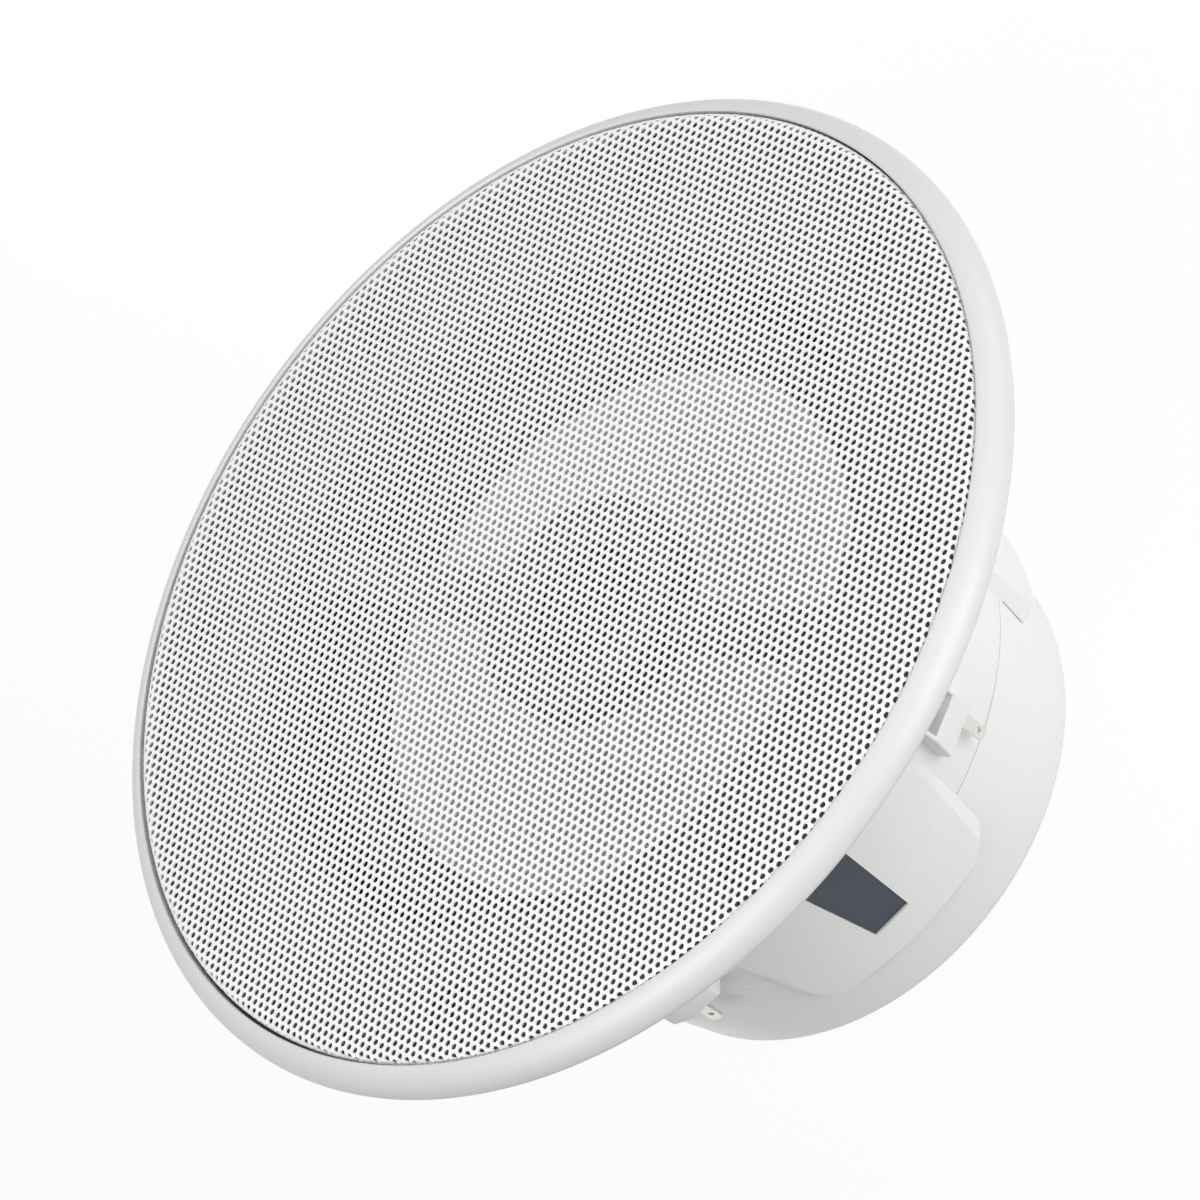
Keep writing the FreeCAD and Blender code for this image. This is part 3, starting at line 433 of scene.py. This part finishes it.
for face in leg.faces:
    middle = face.calc_center_median()
    window_edge = window_half - (window_top - middle.z) * window_lean
    if window_foot < middle.z < window_top and abs(middle.x) < window_edge:
        pocket.append(face)
rim = [edge for edge in leg.edges if edge.is_boundary]
skirt = bmesh.ops.extrude_edge_only(leg, edges=rim)["geom"]
for point in (item for item in skirt if isinstance(item, bmesh.types.BMVert)):
    height = point.co.z
    reach = wall_radius(height) + (skirt_lift if height < seam_height else -skirt_sink)
    point.co.x *= leg_edge(height, reach) / leg_edge(height, leg_radius(height))
    point.co.y = -math.sqrt(reach ** 2 - point.co.x ** 2)
sunk = bmesh.ops.extrude_face_region(leg, geom=pocket)["geom"]
bmesh.ops.delete(leg, geom=pocket, context="FACES_ONLY")
sunk_points = [item for item in sunk if isinstance(item, bmesh.types.BMVert)]
bmesh.ops.translate(leg, vec=(0, window_pocket, 0), verts=sunk_points)
bmesh.ops.recalc_face_normals(leg, faces=leg.faces)
bmesh.ops.bevel(
    leg, geom=rim, offset=leg_round, offset_type="OFFSET", segments=3, profile=0.5,
    affect="EDGES", material=-1)
repeated(leg, leg_count)
piece("basket_legs", leg, [white_abs])

# Slate panels: thin trapezoids of dark blue-grey plastic, glued into the legs' pockets and
# sunk a little under their faces.

# Slate ABS, spark textured: a matt blue grey with a fine, even grain.
slate_abs = blank("slate_abs")
place = add(slate_abs, "TexCoord", {}, {}).outputs["Object"]
drift = add(slate_abs, "TexNoise", {"Scale": per_metre(9.0), "Detail": 5.0}, {"Vector": place})
spark_grain = add(slate_abs, "TexNoise", {"Scale": per_metre(0.45), "Detail": 2.0}, {"Vector": place})
surface(
    slate_abs, drift.outputs["Fac"], ("#2F3742", "#37404C"), (0.50, 0.62),
    spark_grain.outputs["Fac"], 0.03, {"IOR": 1.53})
dress("leg_inserts", slate_abs)

# Terminals: tinned brass blades that stand in open-fronted shrouds moulded on the wall. The
# right hood falls away to the rear, and the left one is deeper, with a bevelled edge.

shroud_half = 5.6
shroud_ridge = -42.6
shroud_rear = -49.5
shroud_front = -24.0
shroud_round = 0.4
shroud_sink = 1.2
slot_overlap = 0.6
bevel_start = -0.8
margin = 0.01
# Name, side, reach from the axis, drop of the sloping rear and drop of the bevelled edge.
shrouds = (
    ("positive", 1, 71.5, 1.9, 0.0),
    ("negative", -1, 75.0, 0.4, 3.7),
)
for name, side, reach, rear_drop, bevel_drop in shrouds:
    shroud = bmesh.new()
    bmesh.ops.create_grid(shroud, x_segments=4, y_segments=4, size=1.0)
    columns = (-shroud_half, -slot_half, bevel_start, slot_half, shroud_half)
    rows = (shroud_rear, shroud_ridge, slot_low, slot_high, shroud_front)
    for point in shroud.verts:
        across = columns[round((point.co.x + 1) * 2)]
        height = rows[round((point.co.y + 1) * 2)]
        drop = rear_drop * max(shroud_ridge - height, 0) / (shroud_ridge - shroud_rear)
        drop += bevel_drop * max(across - bevel_start, 0) / (shroud_half - bevel_start)
        point.co = (across, drop - reach, height)
    opening = []
    for face in shroud.faces:
        middle = face.calc_center_median()
        if abs(middle.x) < slot_half and slot_low < middle.z < slot_high:
            opening.append(face)
    bmesh.ops.delete(shroud, geom=opening, context="FACES")
    rim = [edge for edge in shroud.edges if edge.is_boundary]
    walls = bmesh.ops.extrude_edge_only(shroud, edges=rim)["geom"]
    for point in (item for item in walls if isinstance(item, bmesh.types.BMVert)):
        inner = (
            abs(point.co.x) < slot_half + margin
            and slot_low - margin < point.co.z < slot_high + margin
        )
        depth = basket_wall + slot_overlap if inner else shroud_sink
        point.co.y = -(wall_radius(point.co.z) - depth)
    bmesh.ops.recalc_face_normals(shroud, faces=shroud.faces)
    bmesh.ops.bevel(
        shroud, geom=rim, offset=shroud_round, offset_type="OFFSET", segments=3, profile=0.5,
        affect="EDGES", material=-1)
    bmesh.ops.rotate(
        shroud, cent=(0, 0, 0), matrix=Matrix.Rotation(terminal_turn * side, 3, "Z"),
        verts=shroud.verts)
    piece(f"terminal_shroud_{name}", shroud, [white_abs])
# Tinned brass, stamped from strip: a dull silver skin with rolling lines along the blade.
tinned_brass = blank("tinned_brass")
place = add(tinned_brass, "TexCoord", {}, {}).outputs["Object"]
along = add(tinned_brass, "Mapping", {"Scale": (1.0, 1.0, 0.06)}, {"Vector": place})
rolling_lines = add(
    tinned_brass, "TexNoise", {"Scale": per_metre(0.35), "Detail": 3.0},
    {"Vector": along.outputs["Vector"]})
tarnish = add(tinned_brass, "TexNoise", {"Scale": per_metre(3.0), "Detail": 5.0}, {"Vector": place})
surface(
    tinned_brass, tarnish.outputs["Fac"], ("#D2D1CD", "#EFEEEC"), (0.26, 0.44),
    rolling_lines.outputs["Fac"], 0.01, {"Metallic": 1.0})
dress("terminal_tab_positive", tinned_brass)
dress("terminal_tab_negative", tinned_brass)

# Leads: soft copper braid from each blade to the voice coil. The outer end is held, and the
# inner end travels with the cone.

weld = 0.000002


def flexing(name, mesh, material, node):
    """Piece in place of a node, set where the node stood."""
    data = bpy.data.meshes.new(name)
    mesh.to_mesh(data)
    mesh.free()
    data.shade_smooth()
    data.set_sharp_from_angle(angle=math.radians(40.0))
    data.materials.append(material)
    made = bpy.data.objects.new(name, data)
    bpy.context.scene.collection.objects.link(made)
    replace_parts(made, node)
    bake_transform(made)
    return made


# Copper braid, soft drawn: crossed strands, warm, with a broken shine painted lighter where they cross.
copper_braid = blank("copper_braid")
place = add(copper_braid, "TexCoord", {}, {}).outputs["Object"]
strands = []
for lean in (0.0, math.pi / 2):
    leaning = add(copper_braid, "Mapping", {"Rotation": (0, 0, lean)}, {"Vector": place})
    strands.append(add(
        copper_braid, "TexWave",
        {"bands_direction": "DIAGONAL", "Scale": waves_per_metre(0.5), "Distortion": 1.0},
        {"Vector": leaning.outputs["Vector"]}))
crossing_and_painted_shine = add(
    copper_braid, "Math", {"operation": "MULTIPLY"},
    {0: strands[0].outputs["Fac"], 1: strands[1].outputs["Fac"]})
surface(
    copper_braid, crossing_and_painted_shine.outputs[0], ("#9C5430", "#CF8B5E"), (0.30, 0.50), crossing_and_painted_shine.outputs[0], 0.08,
    {"Metallic": 1.0})
for name, side in (("positive", 1), ("negative", -1)):
    braid = bmesh.new()
    braid.from_mesh(nodes[f"lead_{name}"].data)
    bmesh.ops.remove_doubles(braid, verts=braid.verts, dist=weld)
    flexing(
        f"lead_{name}_braid", braid, copper_braid, f"lead_{name}")

# Voice coil: enamelled copper wire wound on a former of thin aluminium foil, which hangs in
# the gap between the pole and the front plate.

# Aluminium foil, rolled: bright, with fine lines round the tube.
foil = blank("rolled_aluminium")
place = add(foil, "TexCoord", {}, {}).outputs["Object"]
lines = add(
    foil, "TexWave",
    {"bands_direction": "Z", "Scale": waves_per_metre(0.6), "Distortion": 2.0, "Detail": 3.0},
    {"Vector": place})
dull_spots = add(foil, "TexNoise", {"Scale": per_metre(5.0), "Detail": 4.0}, {"Vector": place})
surface(
    foil, dull_spots.outputs["Fac"], ("#BDBDBD", "#DADADA"), (0.18, 0.34), lines.outputs["Fac"], 0.01,
    {"Metallic": 1.0})
# Enamelled copper wire: close turns 0.35 mm apart, warm, with a painted highlight on their crowns.
enamelled_copper = blank("enamelled_copper")
place = add(enamelled_copper, "TexCoord", {}, {}).outputs["Object"]
turns_and_painted_sheen = add(
    enamelled_copper, "TexWave", {"bands_direction": "Z", "Scale": waves_per_metre(0.35)},
    {"Vector": place})
surface(
    enamelled_copper, turns_and_painted_sheen.outputs["Fac"], ("#8A4526", "#CE8450"), (0.22, 0.38),
    turns_and_painted_sheen.outputs["Fac"], 0.12, {"Metallic": 1.0})
dress("voice_coil_former", foil)
dress("voice_coil", enamelled_copper)

# Spider and surround: a rippled disc of varnished cotton and a half roll of rubber hang the
# cone in the basket. Each is glued to the basket outside and to the cone inside, and flexes.

sector_count = 24


def flexing_ring(name, material, node):
    """Ring in place of a node: cut into sectors, which are joined again."""
    sectors = []
    half = math.pi / sector_count
    for number in range(sector_count):
        turn = Matrix.Rotation(2 * half * number, 3, "Z")
        sector = bmesh.new()
        sector.from_mesh(nodes[node].data)
        bmesh.ops.remove_doubles(sector, verts=sector.verts, dist=weld)
        for side in (1, -1):
            bmesh.ops.bisect_plane(
                sector, geom=sector.faces[:] + sector.edges[:] + sector.verts[:], dist=0.0000001,
                plane_co=(0, 0, 0), plane_no=turn @ Vector((-math.sin(half), side * math.cos(half), 0)),
                clear_outer=True)
        sectors.append(flexing(
            name if number == 0 else f"{name}_sector", sector, material, node))
    with bpy.context.temp_override(active_object=sectors[0], selected_editable_objects=sectors):
        bpy.ops.object.join()
    ring = bmesh.new()
    ring.from_mesh(sectors[0].data)
    bmesh.ops.remove_doubles(ring, verts=ring.verts, dist=weld)
    ring.to_mesh(sectors[0].data)
    ring.free()
    sectors[0].data.materials.clear()
    sectors[0].data.materials.append(material)


# Varnished cotton, woven: amber threads 0.9 mm apart, coarser than real so that they show.
varnished_cotton = blank("varnished_cotton")
place = add(varnished_cotton, "TexCoord", {}, {}).outputs["Object"]
threads = [
    add(
        varnished_cotton, "TexWave",
        {"bands_direction": direction, "Scale": waves_per_metre(0.9), "Distortion": 0.5},
        {"Vector": place})
    for direction in ("X", "Y")
]
weave = add(
    varnished_cotton, "Math", {"operation": "MULTIPLY"},
    {0: threads[0].outputs["Fac"], 1: threads[1].outputs["Fac"]})
surface(
    varnished_cotton, weave.outputs[0], ("#9A7434", "#CFAE6C"), (0.50, 0.72), weave.outputs[0], 0.10,
    {"IOR": 1.5})
flexing_ring(
    "spider_disc", varnished_cotton, "spider")
# Butyl rubber, moulded: satin grey with a faint bloom.
butyl_rubber = blank("butyl_rubber")
place = add(butyl_rubber, "TexCoord", {}, {}).outputs["Object"]
bloom = add(butyl_rubber, "TexNoise", {"Scale": per_metre(11.0), "Detail": 6.0}, {"Vector": place})
mould_grain = add(butyl_rubber, "TexNoise", {"Scale": per_metre(0.7), "Detail": 2.0}, {"Vector": place})
surface(
    butyl_rubber, bloom.outputs["Fac"], ("#444444", "#565656"), (0.42, 0.60),
    mould_grain.outputs["Fac"], 0.02, {"IOR": 1.52})
flexing_ring(
    "surround_roll", butyl_rubber, "surround")

# Cone: a pale pressed paper cone with its dust cap, glued to the top of the former.

# Coated paper, pressed wet: off-white with soft fibres.
coated_paper = blank("coated_paper")
place = add(coated_paper, "TexCoord", {}, {}).outputs["Object"]
pulp = add(coated_paper, "TexNoise", {"Scale": per_metre(6.0), "Detail": 7.0}, {"Vector": place})
fibres = add(
    coated_paper, "TexNoise", {"Scale": per_metre(1.0), "Detail": 6.0, "Distortion": 2.5},
    {"Vector": place})
surface(
    coated_paper, pulp.outputs["Fac"], ("#DDDDDA", "#EAEAE8"), (0.45, 0.62), fibres.outputs["Fac"], 0.06,
    {"IOR": 1.5})
dress("cone", coated_paper)
dress("dust_cap", coated_paper)

# Liner: a dark moulded ring on the flange's face, with a sleeve down the neck that clamps
# the surround's outer foot.

dress("front_liner", black_abs_and_painted_shade)

# Tweeter: a coated silk dome and its magnet in a dark moulded pod, which a dark bar carries
# across the cone.

# Coated silk: a fine dark weave, threads drawn 0.6 mm apart so that they show.
coated_silk = blank("coated_silk")
place = add(coated_silk, "TexCoord", {}, {}).outputs["Object"]
threads = [
    add(
        coated_silk, "TexWave", {"bands_direction": direction, "Scale": waves_per_metre(0.6)},
        {"Vector": place})
    for direction in ("X", "Y")
]
weave = add(
    coated_silk, "Math", {"operation": "MULTIPLY"},
    {0: threads[0].outputs["Fac"], 1: threads[1].outputs["Fac"]})
surface(
    coated_silk, weave.outputs[0], ("#1B1B1D", "#303033"), (0.48, 0.66), weave.outputs[0], 0.05,
    {"IOR": 1.5})
for name in ("tweeter_bridge", "tweeter_housing", "tweeter_faceplate"):
    dress(name, black_abs_and_painted_shade)
dress("tweeter_dome", coated_silk)
dress("tweeter_magnet", ferrite)

# Capacitor: a small can in a shrunk plastic sleeve, standing on the basket's floor.

# Shrunk PVC sleeve: glossy dark blue, slightly wrinkled round the can.
shrunk_pvc = blank("shrunk_pvc")
place = add(shrunk_pvc, "TexCoord", {}, {}).outputs["Object"]
stretch = add(shrunk_pvc, "TexNoise", {"Scale": per_metre(8.0), "Detail": 3.0}, {"Vector": place})
wrinkles = add(
    shrunk_pvc, "TexWave", {"bands_direction": "Z", "Scale": waves_per_metre(3.0), "Distortion": 6.0},
    {"Vector": place})
surface(
    shrunk_pvc, stretch.outputs["Fac"], ("#1D2C55", "#2A3D70"), (0.18, 0.30),
    wrinkles.outputs["Fac"], 0.02, {"IOR": 1.54})
dress("crossover_capacitor", shrunk_pvc)

# Rear cover: a white moulded cup over the motor, pressed against the basket's floor with a
# fine seam between them. A shallow dish in its flat back leaves a rim to rest on.

cover_wall = 2.5
cover_back = -95.4
cover_front = -61.9
cover_floor = -92.1
dish_floor = -94.6
dish_radius = 40.0
boss_outer = 28.0
boss_inner = 18.0
boss_top = -89.6
cover = turned([
    (wall_radius(cover_front) - cover_wall, cover_front, 0),
    (wall_radius(cover_floor) - cover_wall, cover_floor, 2.0),
    (boss_outer, cover_floor, 0),
    (boss_outer, boss_top, 0.3),
    (boss_inner, boss_top, 0.3),
    (boss_inner, cover_floor, 0),
    (0.0, cover_floor, 0),
    (0.0, dish_floor, 0),
    (dish_radius, dish_floor, 0.3),
    (dish_radius, cover_back, 0.3),
    (wall_radius(cover_back), cover_back, 3.2),
    (wall_radius(cover_front), cover_front, 0.3),
], fine_steps)
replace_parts(piece("cover_cup", cover, [white_abs]), "rear_cover")

# Gasket: a ring of closed-cell foam stuck behind the flange, which the panel presses flat.

# Neoprene foam, cut from sheet: black and dull, with small closed cells.
neoprene_foam = blank("neoprene_foam")
place = add(neoprene_foam, "TexCoord", {}, {}).outputs["Object"]
cells = add(neoprene_foam, "TexVoronoi", {"Scale": per_metre(0.9)}, {"Vector": place})
dust = add(neoprene_foam, "TexNoise", {"Scale": per_metre(6.0), "Detail": 6.0}, {"Vector": place})
surface(
    neoprene_foam, dust.outputs["Fac"], ("#232323", "#353535"), (0.80, 0.95),
    cells.outputs["Distance"], 0.20, {"IOR": 1.45})
dress("mounting_gasket", neoprene_foam)

# Bezel: a glossy white ring with a rounded crown, clipped round the flange. Its inner lip
# stands beside the rolled edge of the grille, whose seat is painted black as shade.

bezel_radius = 111.0
crown_height = 6.315
bezel_steps = 360
lip_radius = 106.41
lip_height = 7.4
seat_bore = 106.06
seat_wall_top = 7.05
seat_height = 4.2
seat_inner = 100.46
bezel = turned([
    (flange_radius, 0.0, 0),
    (bezel_radius, 0.0, 1.6),
    (bezel_radius, crown_height, 4.7),
    (lip_radius, lip_height, 0.12),
    (seat_bore, seat_wall_top, 0),
    (seat_bore, seat_height, 0.2),
    (seat_inner, seat_height, 0.2),
    (seat_inner, flange_top, 0),
    (flange_radius, flange_top, 0),
], bezel_steps)
# Glossy white ABS, moulded: greyer than the basket's as painted shade, with a soft, even sheen.
bezel_abs_with_painted_shade = blank("bezel_abs_with_painted_shade")
place = add(bezel_abs_with_painted_shade, "TexCoord", {}, {}).outputs["Object"]
flow = add(
    bezel_abs_with_painted_shade, "TexNoise", {"Scale": per_metre(40.0), "Detail": 3.0, "Distortion": 0.8},
    {"Vector": place})
peel = add(bezel_abs_with_painted_shade, "TexNoise", {"Scale": per_metre(2.2), "Detail": 2.0}, {"Vector": place})
surface(
    bezel_abs_with_painted_shade, flow.outputs["Fac"], ("#CFCFCE", "#D3D3D2"), (0.30, 0.40), peel.outputs["Fac"], 0.004,
    {"IOR": 1.53})
# Painted shade: the seat under the grille's edge is black.
painted_shade_outer = seat_bore + 0.02
painted_shade_foot = flange_top + 0.05
painted_shade_top = seat_height + 0.25
for face in bezel.faces:
    middle = face.calc_center_median()
    if middle.xy.length < painted_shade_outer and painted_shade_foot < middle.z < painted_shade_top:
        face.material_index = 1
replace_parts(piece("bezel_ring", bezel, [bezel_abs_with_painted_shade, black_abs_and_painted_shade]), "bezel")

# Grille: thin painted steel, punched with round holes in a triangular lattice, pressed to a
# shallow dome and rolled over at its edge. It drops into the bezel with a fine gap.

hole_pitch = 2.0055
hole_radius = 0.675
sheet_thickness = 0.35
apex = 9.5
bend_start = 104.1
bend_radius = 1.4
dome_rise = 1.78
dome_radius = (bend_start ** 2 + dome_rise ** 2) / (2 * dome_rise)
dome_run = dome_radius * math.asin(bend_start / dome_radius)
bend_run = bend_radius * math.pi / 2
bend_height = apex - dome_rise - bend_radius
hem_overlap = 1.2
sheet_edge = dome_run + bend_run + hem_overlap


def pressed(point):
    """Place on the pressed sheet of a point of the flat one."""
    run = point.xy.length
    if run <= dome_run:
        radius = dome_radius * math.sin(run / dome_radius)
        height = apex - dome_radius * (1 - math.cos(run / dome_radius))
    elif run <= dome_run + bend_run:
        turn = (run - dome_run) / bend_radius
        radius = bend_start + bend_radius * math.sin(turn)
        height = bend_height + bend_radius * math.cos(turn)
    else:
        radius = bend_start + bend_radius
        height = bend_height - (run - dome_run - bend_run)
    share = radius / max(run, 1e-9)
    return Vector((point.x * share, point.y * share, height))


# One sixth of the sheet is a sheared grid of triangles. Each corner opens into a hole.
wedge = bmesh.new()
wedge_rows = 56
bmesh.ops.create_grid(wedge, x_segments=wedge_rows, y_segments=wedge_rows, size=wedge_rows / 2)
bmesh.ops.translate(wedge, vec=(wedge_rows / 2, wedge_rows / 2, 0), verts=wedge.verts)
lattice = Matrix((
    (hole_pitch, hole_pitch / 2, 0, 0),
    (0, hole_pitch * math.sqrt(0.75), 0, 0),
    (0, 0, 1, 0),
    (0, 0, 0, 1),
))
bmesh.ops.transform(wedge, matrix=lattice, verts=wedge.verts)
bmesh.ops.triangulate(wedge, faces=wedge.faces, quad_method="SHORT_EDGE")
past_edge = [point for point in wedge.verts if point.co.length > sheet_edge]
bmesh.ops.delete(wedge, geom=past_edge, context="VERTS")
middles = bmesh.ops.poke(wedge, faces=wedge.faces)["verts"]
kept = set(middles)
centres = [point for point in wedge.verts if point not in kept]
holes = bmesh.ops.bevel(
    wedge, geom=centres, offset=hole_radius, offset_type="OFFSET", segments=1, profile=0.5,
    affect="VERTICES", material=-1, clamp_overlap=False)["faces"]
bmesh.ops.delete(wedge, geom=holes, context="FACES")
bmesh.ops.dissolve_verts(wedge, verts=[point for point in middles if point.is_valid])
for point in wedge.verts:
    point.co = pressed(point.co)
# Powder coat on steel: satin white with a fine orange peel.
powder_coat = blank("white_powder_coat")
place = add(powder_coat, "TexCoord", {}, {}).outputs["Object"]
shade = add(powder_coat, "TexNoise", {"Scale": per_metre(18.0), "Detail": 4.0}, {"Vector": place})
orange_peel = add(powder_coat, "TexNoise", {"Scale": per_metre(0.6), "Detail": 2.0}, {"Vector": place})
surface(
    powder_coat, shade.outputs["Fac"], ("#EBEBE9", "#F0F0EF"), (0.38, 0.50),
    orange_peel.outputs["Fac"], 0.01, {"IOR": 1.5})
sheet_turn = math.radians(49.76)
grille_shift = Vector((0.22, -0.20, 0))
for part in range(3):
    sheet = wedge.copy()
    bmesh.ops.spin(
        sheet, geom=sheet.verts[:] + sheet.edges[:] + sheet.faces[:], cent=(0, 0, 0), axis=(0, 0, 1),
        angle=math.radians(60), steps=1, use_duplicate=True)
    bmesh.ops.remove_doubles(sheet, verts=sheet.verts, dist=0.02)
    bmesh.ops.recalc_face_normals(sheet, faces=sheet.faces)
    if sum(face.normal.z for face in sheet.faces) < 0:
        bmesh.ops.reverse_faces(sheet, faces=sheet.faces)
    bmesh.ops.solidify(sheet, geom=sheet.faces[:], thickness=sheet_thickness)
    bmesh.ops.rotate(
        sheet, cent=(0, 0, 0), matrix=Matrix.Rotation(sheet_turn + part * math.radians(120), 3, "Z"),
        verts=sheet.verts)
    bmesh.ops.translate(sheet, vec=grille_shift, verts=sheet.verts)
    made = piece(f"grille_sheet_{part + 1}", sheet, [powder_coat])
    if part == 0:
        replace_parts(made, "grille")
wedge.free()
hem_stand = 0.02
hem_wall = 0.8
hem_outer = bend_start + bend_radius + hem_stand
hem_inner = hem_outer - hem_wall
hem_top = 5.9
hem = turned([
    (hem_outer, hem_top, 0),
    (hem_outer, seat_height, 0.15),
    (hem_inner, seat_height, 0.15),
    (hem_inner, hem_top, 0),
], fine_steps)
bmesh.ops.translate(hem, vec=grille_shift, verts=hem.verts)
piece("grille_hem", hem, [powder_coat])

# Studio: a pale paper floor under the speaker's flat back, soft lamps to the right, in front
# and above, a sky that fades downwards, and the camera at the photograph's angle.

floor_half = 6.0
floor_gap = 0.0002
floor_mesh = bmesh.new()
bmesh.ops.create_grid(floor_mesh, x_segments=1, y_segments=1, size=floor_half)
bmesh.ops.translate(floor_mesh, vec=(0, 0, cover_back / 1000 - floor_gap), verts=floor_mesh.verts)
floor_data = bpy.data.meshes.new("floor")
floor_mesh.to_mesh(floor_data)
floor_mesh.free()
floor = bpy.data.objects.new("floor", floor_data)
bpy.context.scene.collection.objects.link(floor)
# Seamless paper: pale and dull. To the eye and in reflections it is nearly white, and it
# sends less light than that up to the speaker's shaded side.
paper = blank("seamless_paper")
place = add(paper, "TexCoord", {}, {}).outputs["Object"]
fibres = add(paper, "TexNoise", {"Scale": per_metre(5.0), "Detail": 5.0}, {"Vector": place})
lit_way = Vector((0.94, 0.34, 0.0))
rightness = add(paper, "VectorMath", {"operation": "DOT_PRODUCT", 1: lit_way}, {0: place})
lit_side = add(
    paper, "MapRange", {"From Min": -0.09, "From Max": 0.05}, {"Value": rightness.outputs["Value"]})
speck = add(paper, "MapRange", {"To Min": -0.03, "To Max": 0.03}, {"Value": fibres.outputs["Fac"]})
blend = add(
    paper, "Math", {"operation": "ADD"}, {0: lit_side.outputs["Result"], 1: speck.outputs["Result"]})
tone = add(
    paper, "Mix", {"data_type": "RGBA", 6: linear("#6C6C6C"), 7: linear("#F4F4F3")},
    {0: blend.outputs[0]})
relief = add(paper, "Bump", {"Strength": 1.0, "Distance": 0.00002}, {"Height": fibres.outputs["Fac"]})
dull = add(
    paper, "BsdfDiffuse", {"Roughness": 0.6},
    {"Color": tone.outputs[2], "Normal": relief.outputs["Normal"]})
white = add(paper, "Emission", {"Color": (1, 1, 1, 1), "Strength": 1.0}, {})
rays = add(paper, "LightPath", {}, {})
mirrored = add(
    paper, "Math", {"operation": "ADD"},
    {0: rays.outputs["Is Camera Ray"], 1: rays.outputs["Is Glossy Ray"]})
seen = add(
    paper, "Math", {"operation": "ADD"},
    {0: mirrored.outputs[0], 1: rays.outputs["Is Transmission Ray"]})
share = add(paper, "MapRange", {"To Max": 0.96}, {"Value": seen.outputs[0]})
both = add(paper, "MixShader", {}, {0: share.outputs["Result"], 1: dull.outputs[0], 2: white.outputs[0]})
add(paper, "OutputMaterial", {}, {"Surface": both.outputs[0]})
floor_data.materials.append(paper)

world = bpy.data.worlds.new("studio")
world.use_nodes = True
world.node_tree.nodes.clear()
bright_side = Vector((0.25, 0.0, 0.97))
direction = add(world, "TexCoord", {}, {}).outputs["Generated"]
facing = add(world, "VectorMath", {"operation": "DOT_PRODUCT", 1: bright_side}, {0: direction})
level = add(
    world, "MapRange", {"From Min": -0.5, "From Max": 1.0, "To Min": 0.02, "To Max": 0.88},
    {"Value": facing.outputs["Value"]})
dome = add(world, "Background", {"Color": (1, 1, 1, 1)}, {"Strength": level.outputs["Result"]})
white = add(world, "Background", {"Color": (1, 1, 1, 1), "Strength": 1.0}, {})
rays = add(world, "LightPath", {}, {})
mirrored = add(
    world, "Math", {"operation": "ADD"},
    {0: rays.outputs["Is Camera Ray"], 1: rays.outputs["Is Glossy Ray"]})
seen = add(
    world, "Math", {"operation": "ADD", "use_clamp": True},
    {0: mirrored.outputs[0], 1: rays.outputs["Is Transmission Ray"]})
both = add(world, "MixShader", {}, {0: seen.outputs[0], 1: dome.outputs[0], 2: white.outputs[0]})
add(world, "OutputWorld", {}, {"Surface": both.outputs[0]})
bpy.context.scene.world = world


def softbox(name, place, size, power):
    """Square light that faces the speaker."""
    data = bpy.data.lights.new(name, "AREA")
    data.shape = "SQUARE"
    data.size = size
    data.energy = power
    lamp = bpy.data.objects.new(name, data)
    bpy.context.scene.collection.objects.link(lamp)
    lamp.location = place
    lamp.rotation_mode = "QUATERNION"
    lamp.rotation_quaternion = Vector(place).to_track_quat("Z", "Y")


softbox("key_softbox", (1.50, 0.35, 0.27), 0.7, 2.2)
softbox("fill_softbox", (1.00, -1.00, 0.36), 0.9, 9.2)
softbox("top_softbox", (-0.80, -0.95, 1.25), 1.2, 14.6)

picture_right = Vector((0.689986, -0.389130, -0.610326))
picture_up = Vector((0.702091, 0.564863, 0.433585))
picture_back = Vector((0.176030, -0.727671, 0.662953))
camera_place = Vector((0.26466, -1.08160, 0.97699))
camera_data = bpy.data.cameras.new("camera")
camera_data.sensor_width = 36.0
camera_data.lens = 221.099
camera_data.clip_start = 0.1
camera_data.clip_end = 20.0
camera = bpy.data.objects.new("camera", camera_data)
bpy.context.scene.collection.objects.link(camera)
camera.matrix_world = Matrix((picture_right, picture_up, picture_back)).transposed().to_4x4()
camera.matrix_world.translation = camera_place
bpy.context.scene.camera = camera
bpy.context.scene.view_settings.view_transform = "Standard"
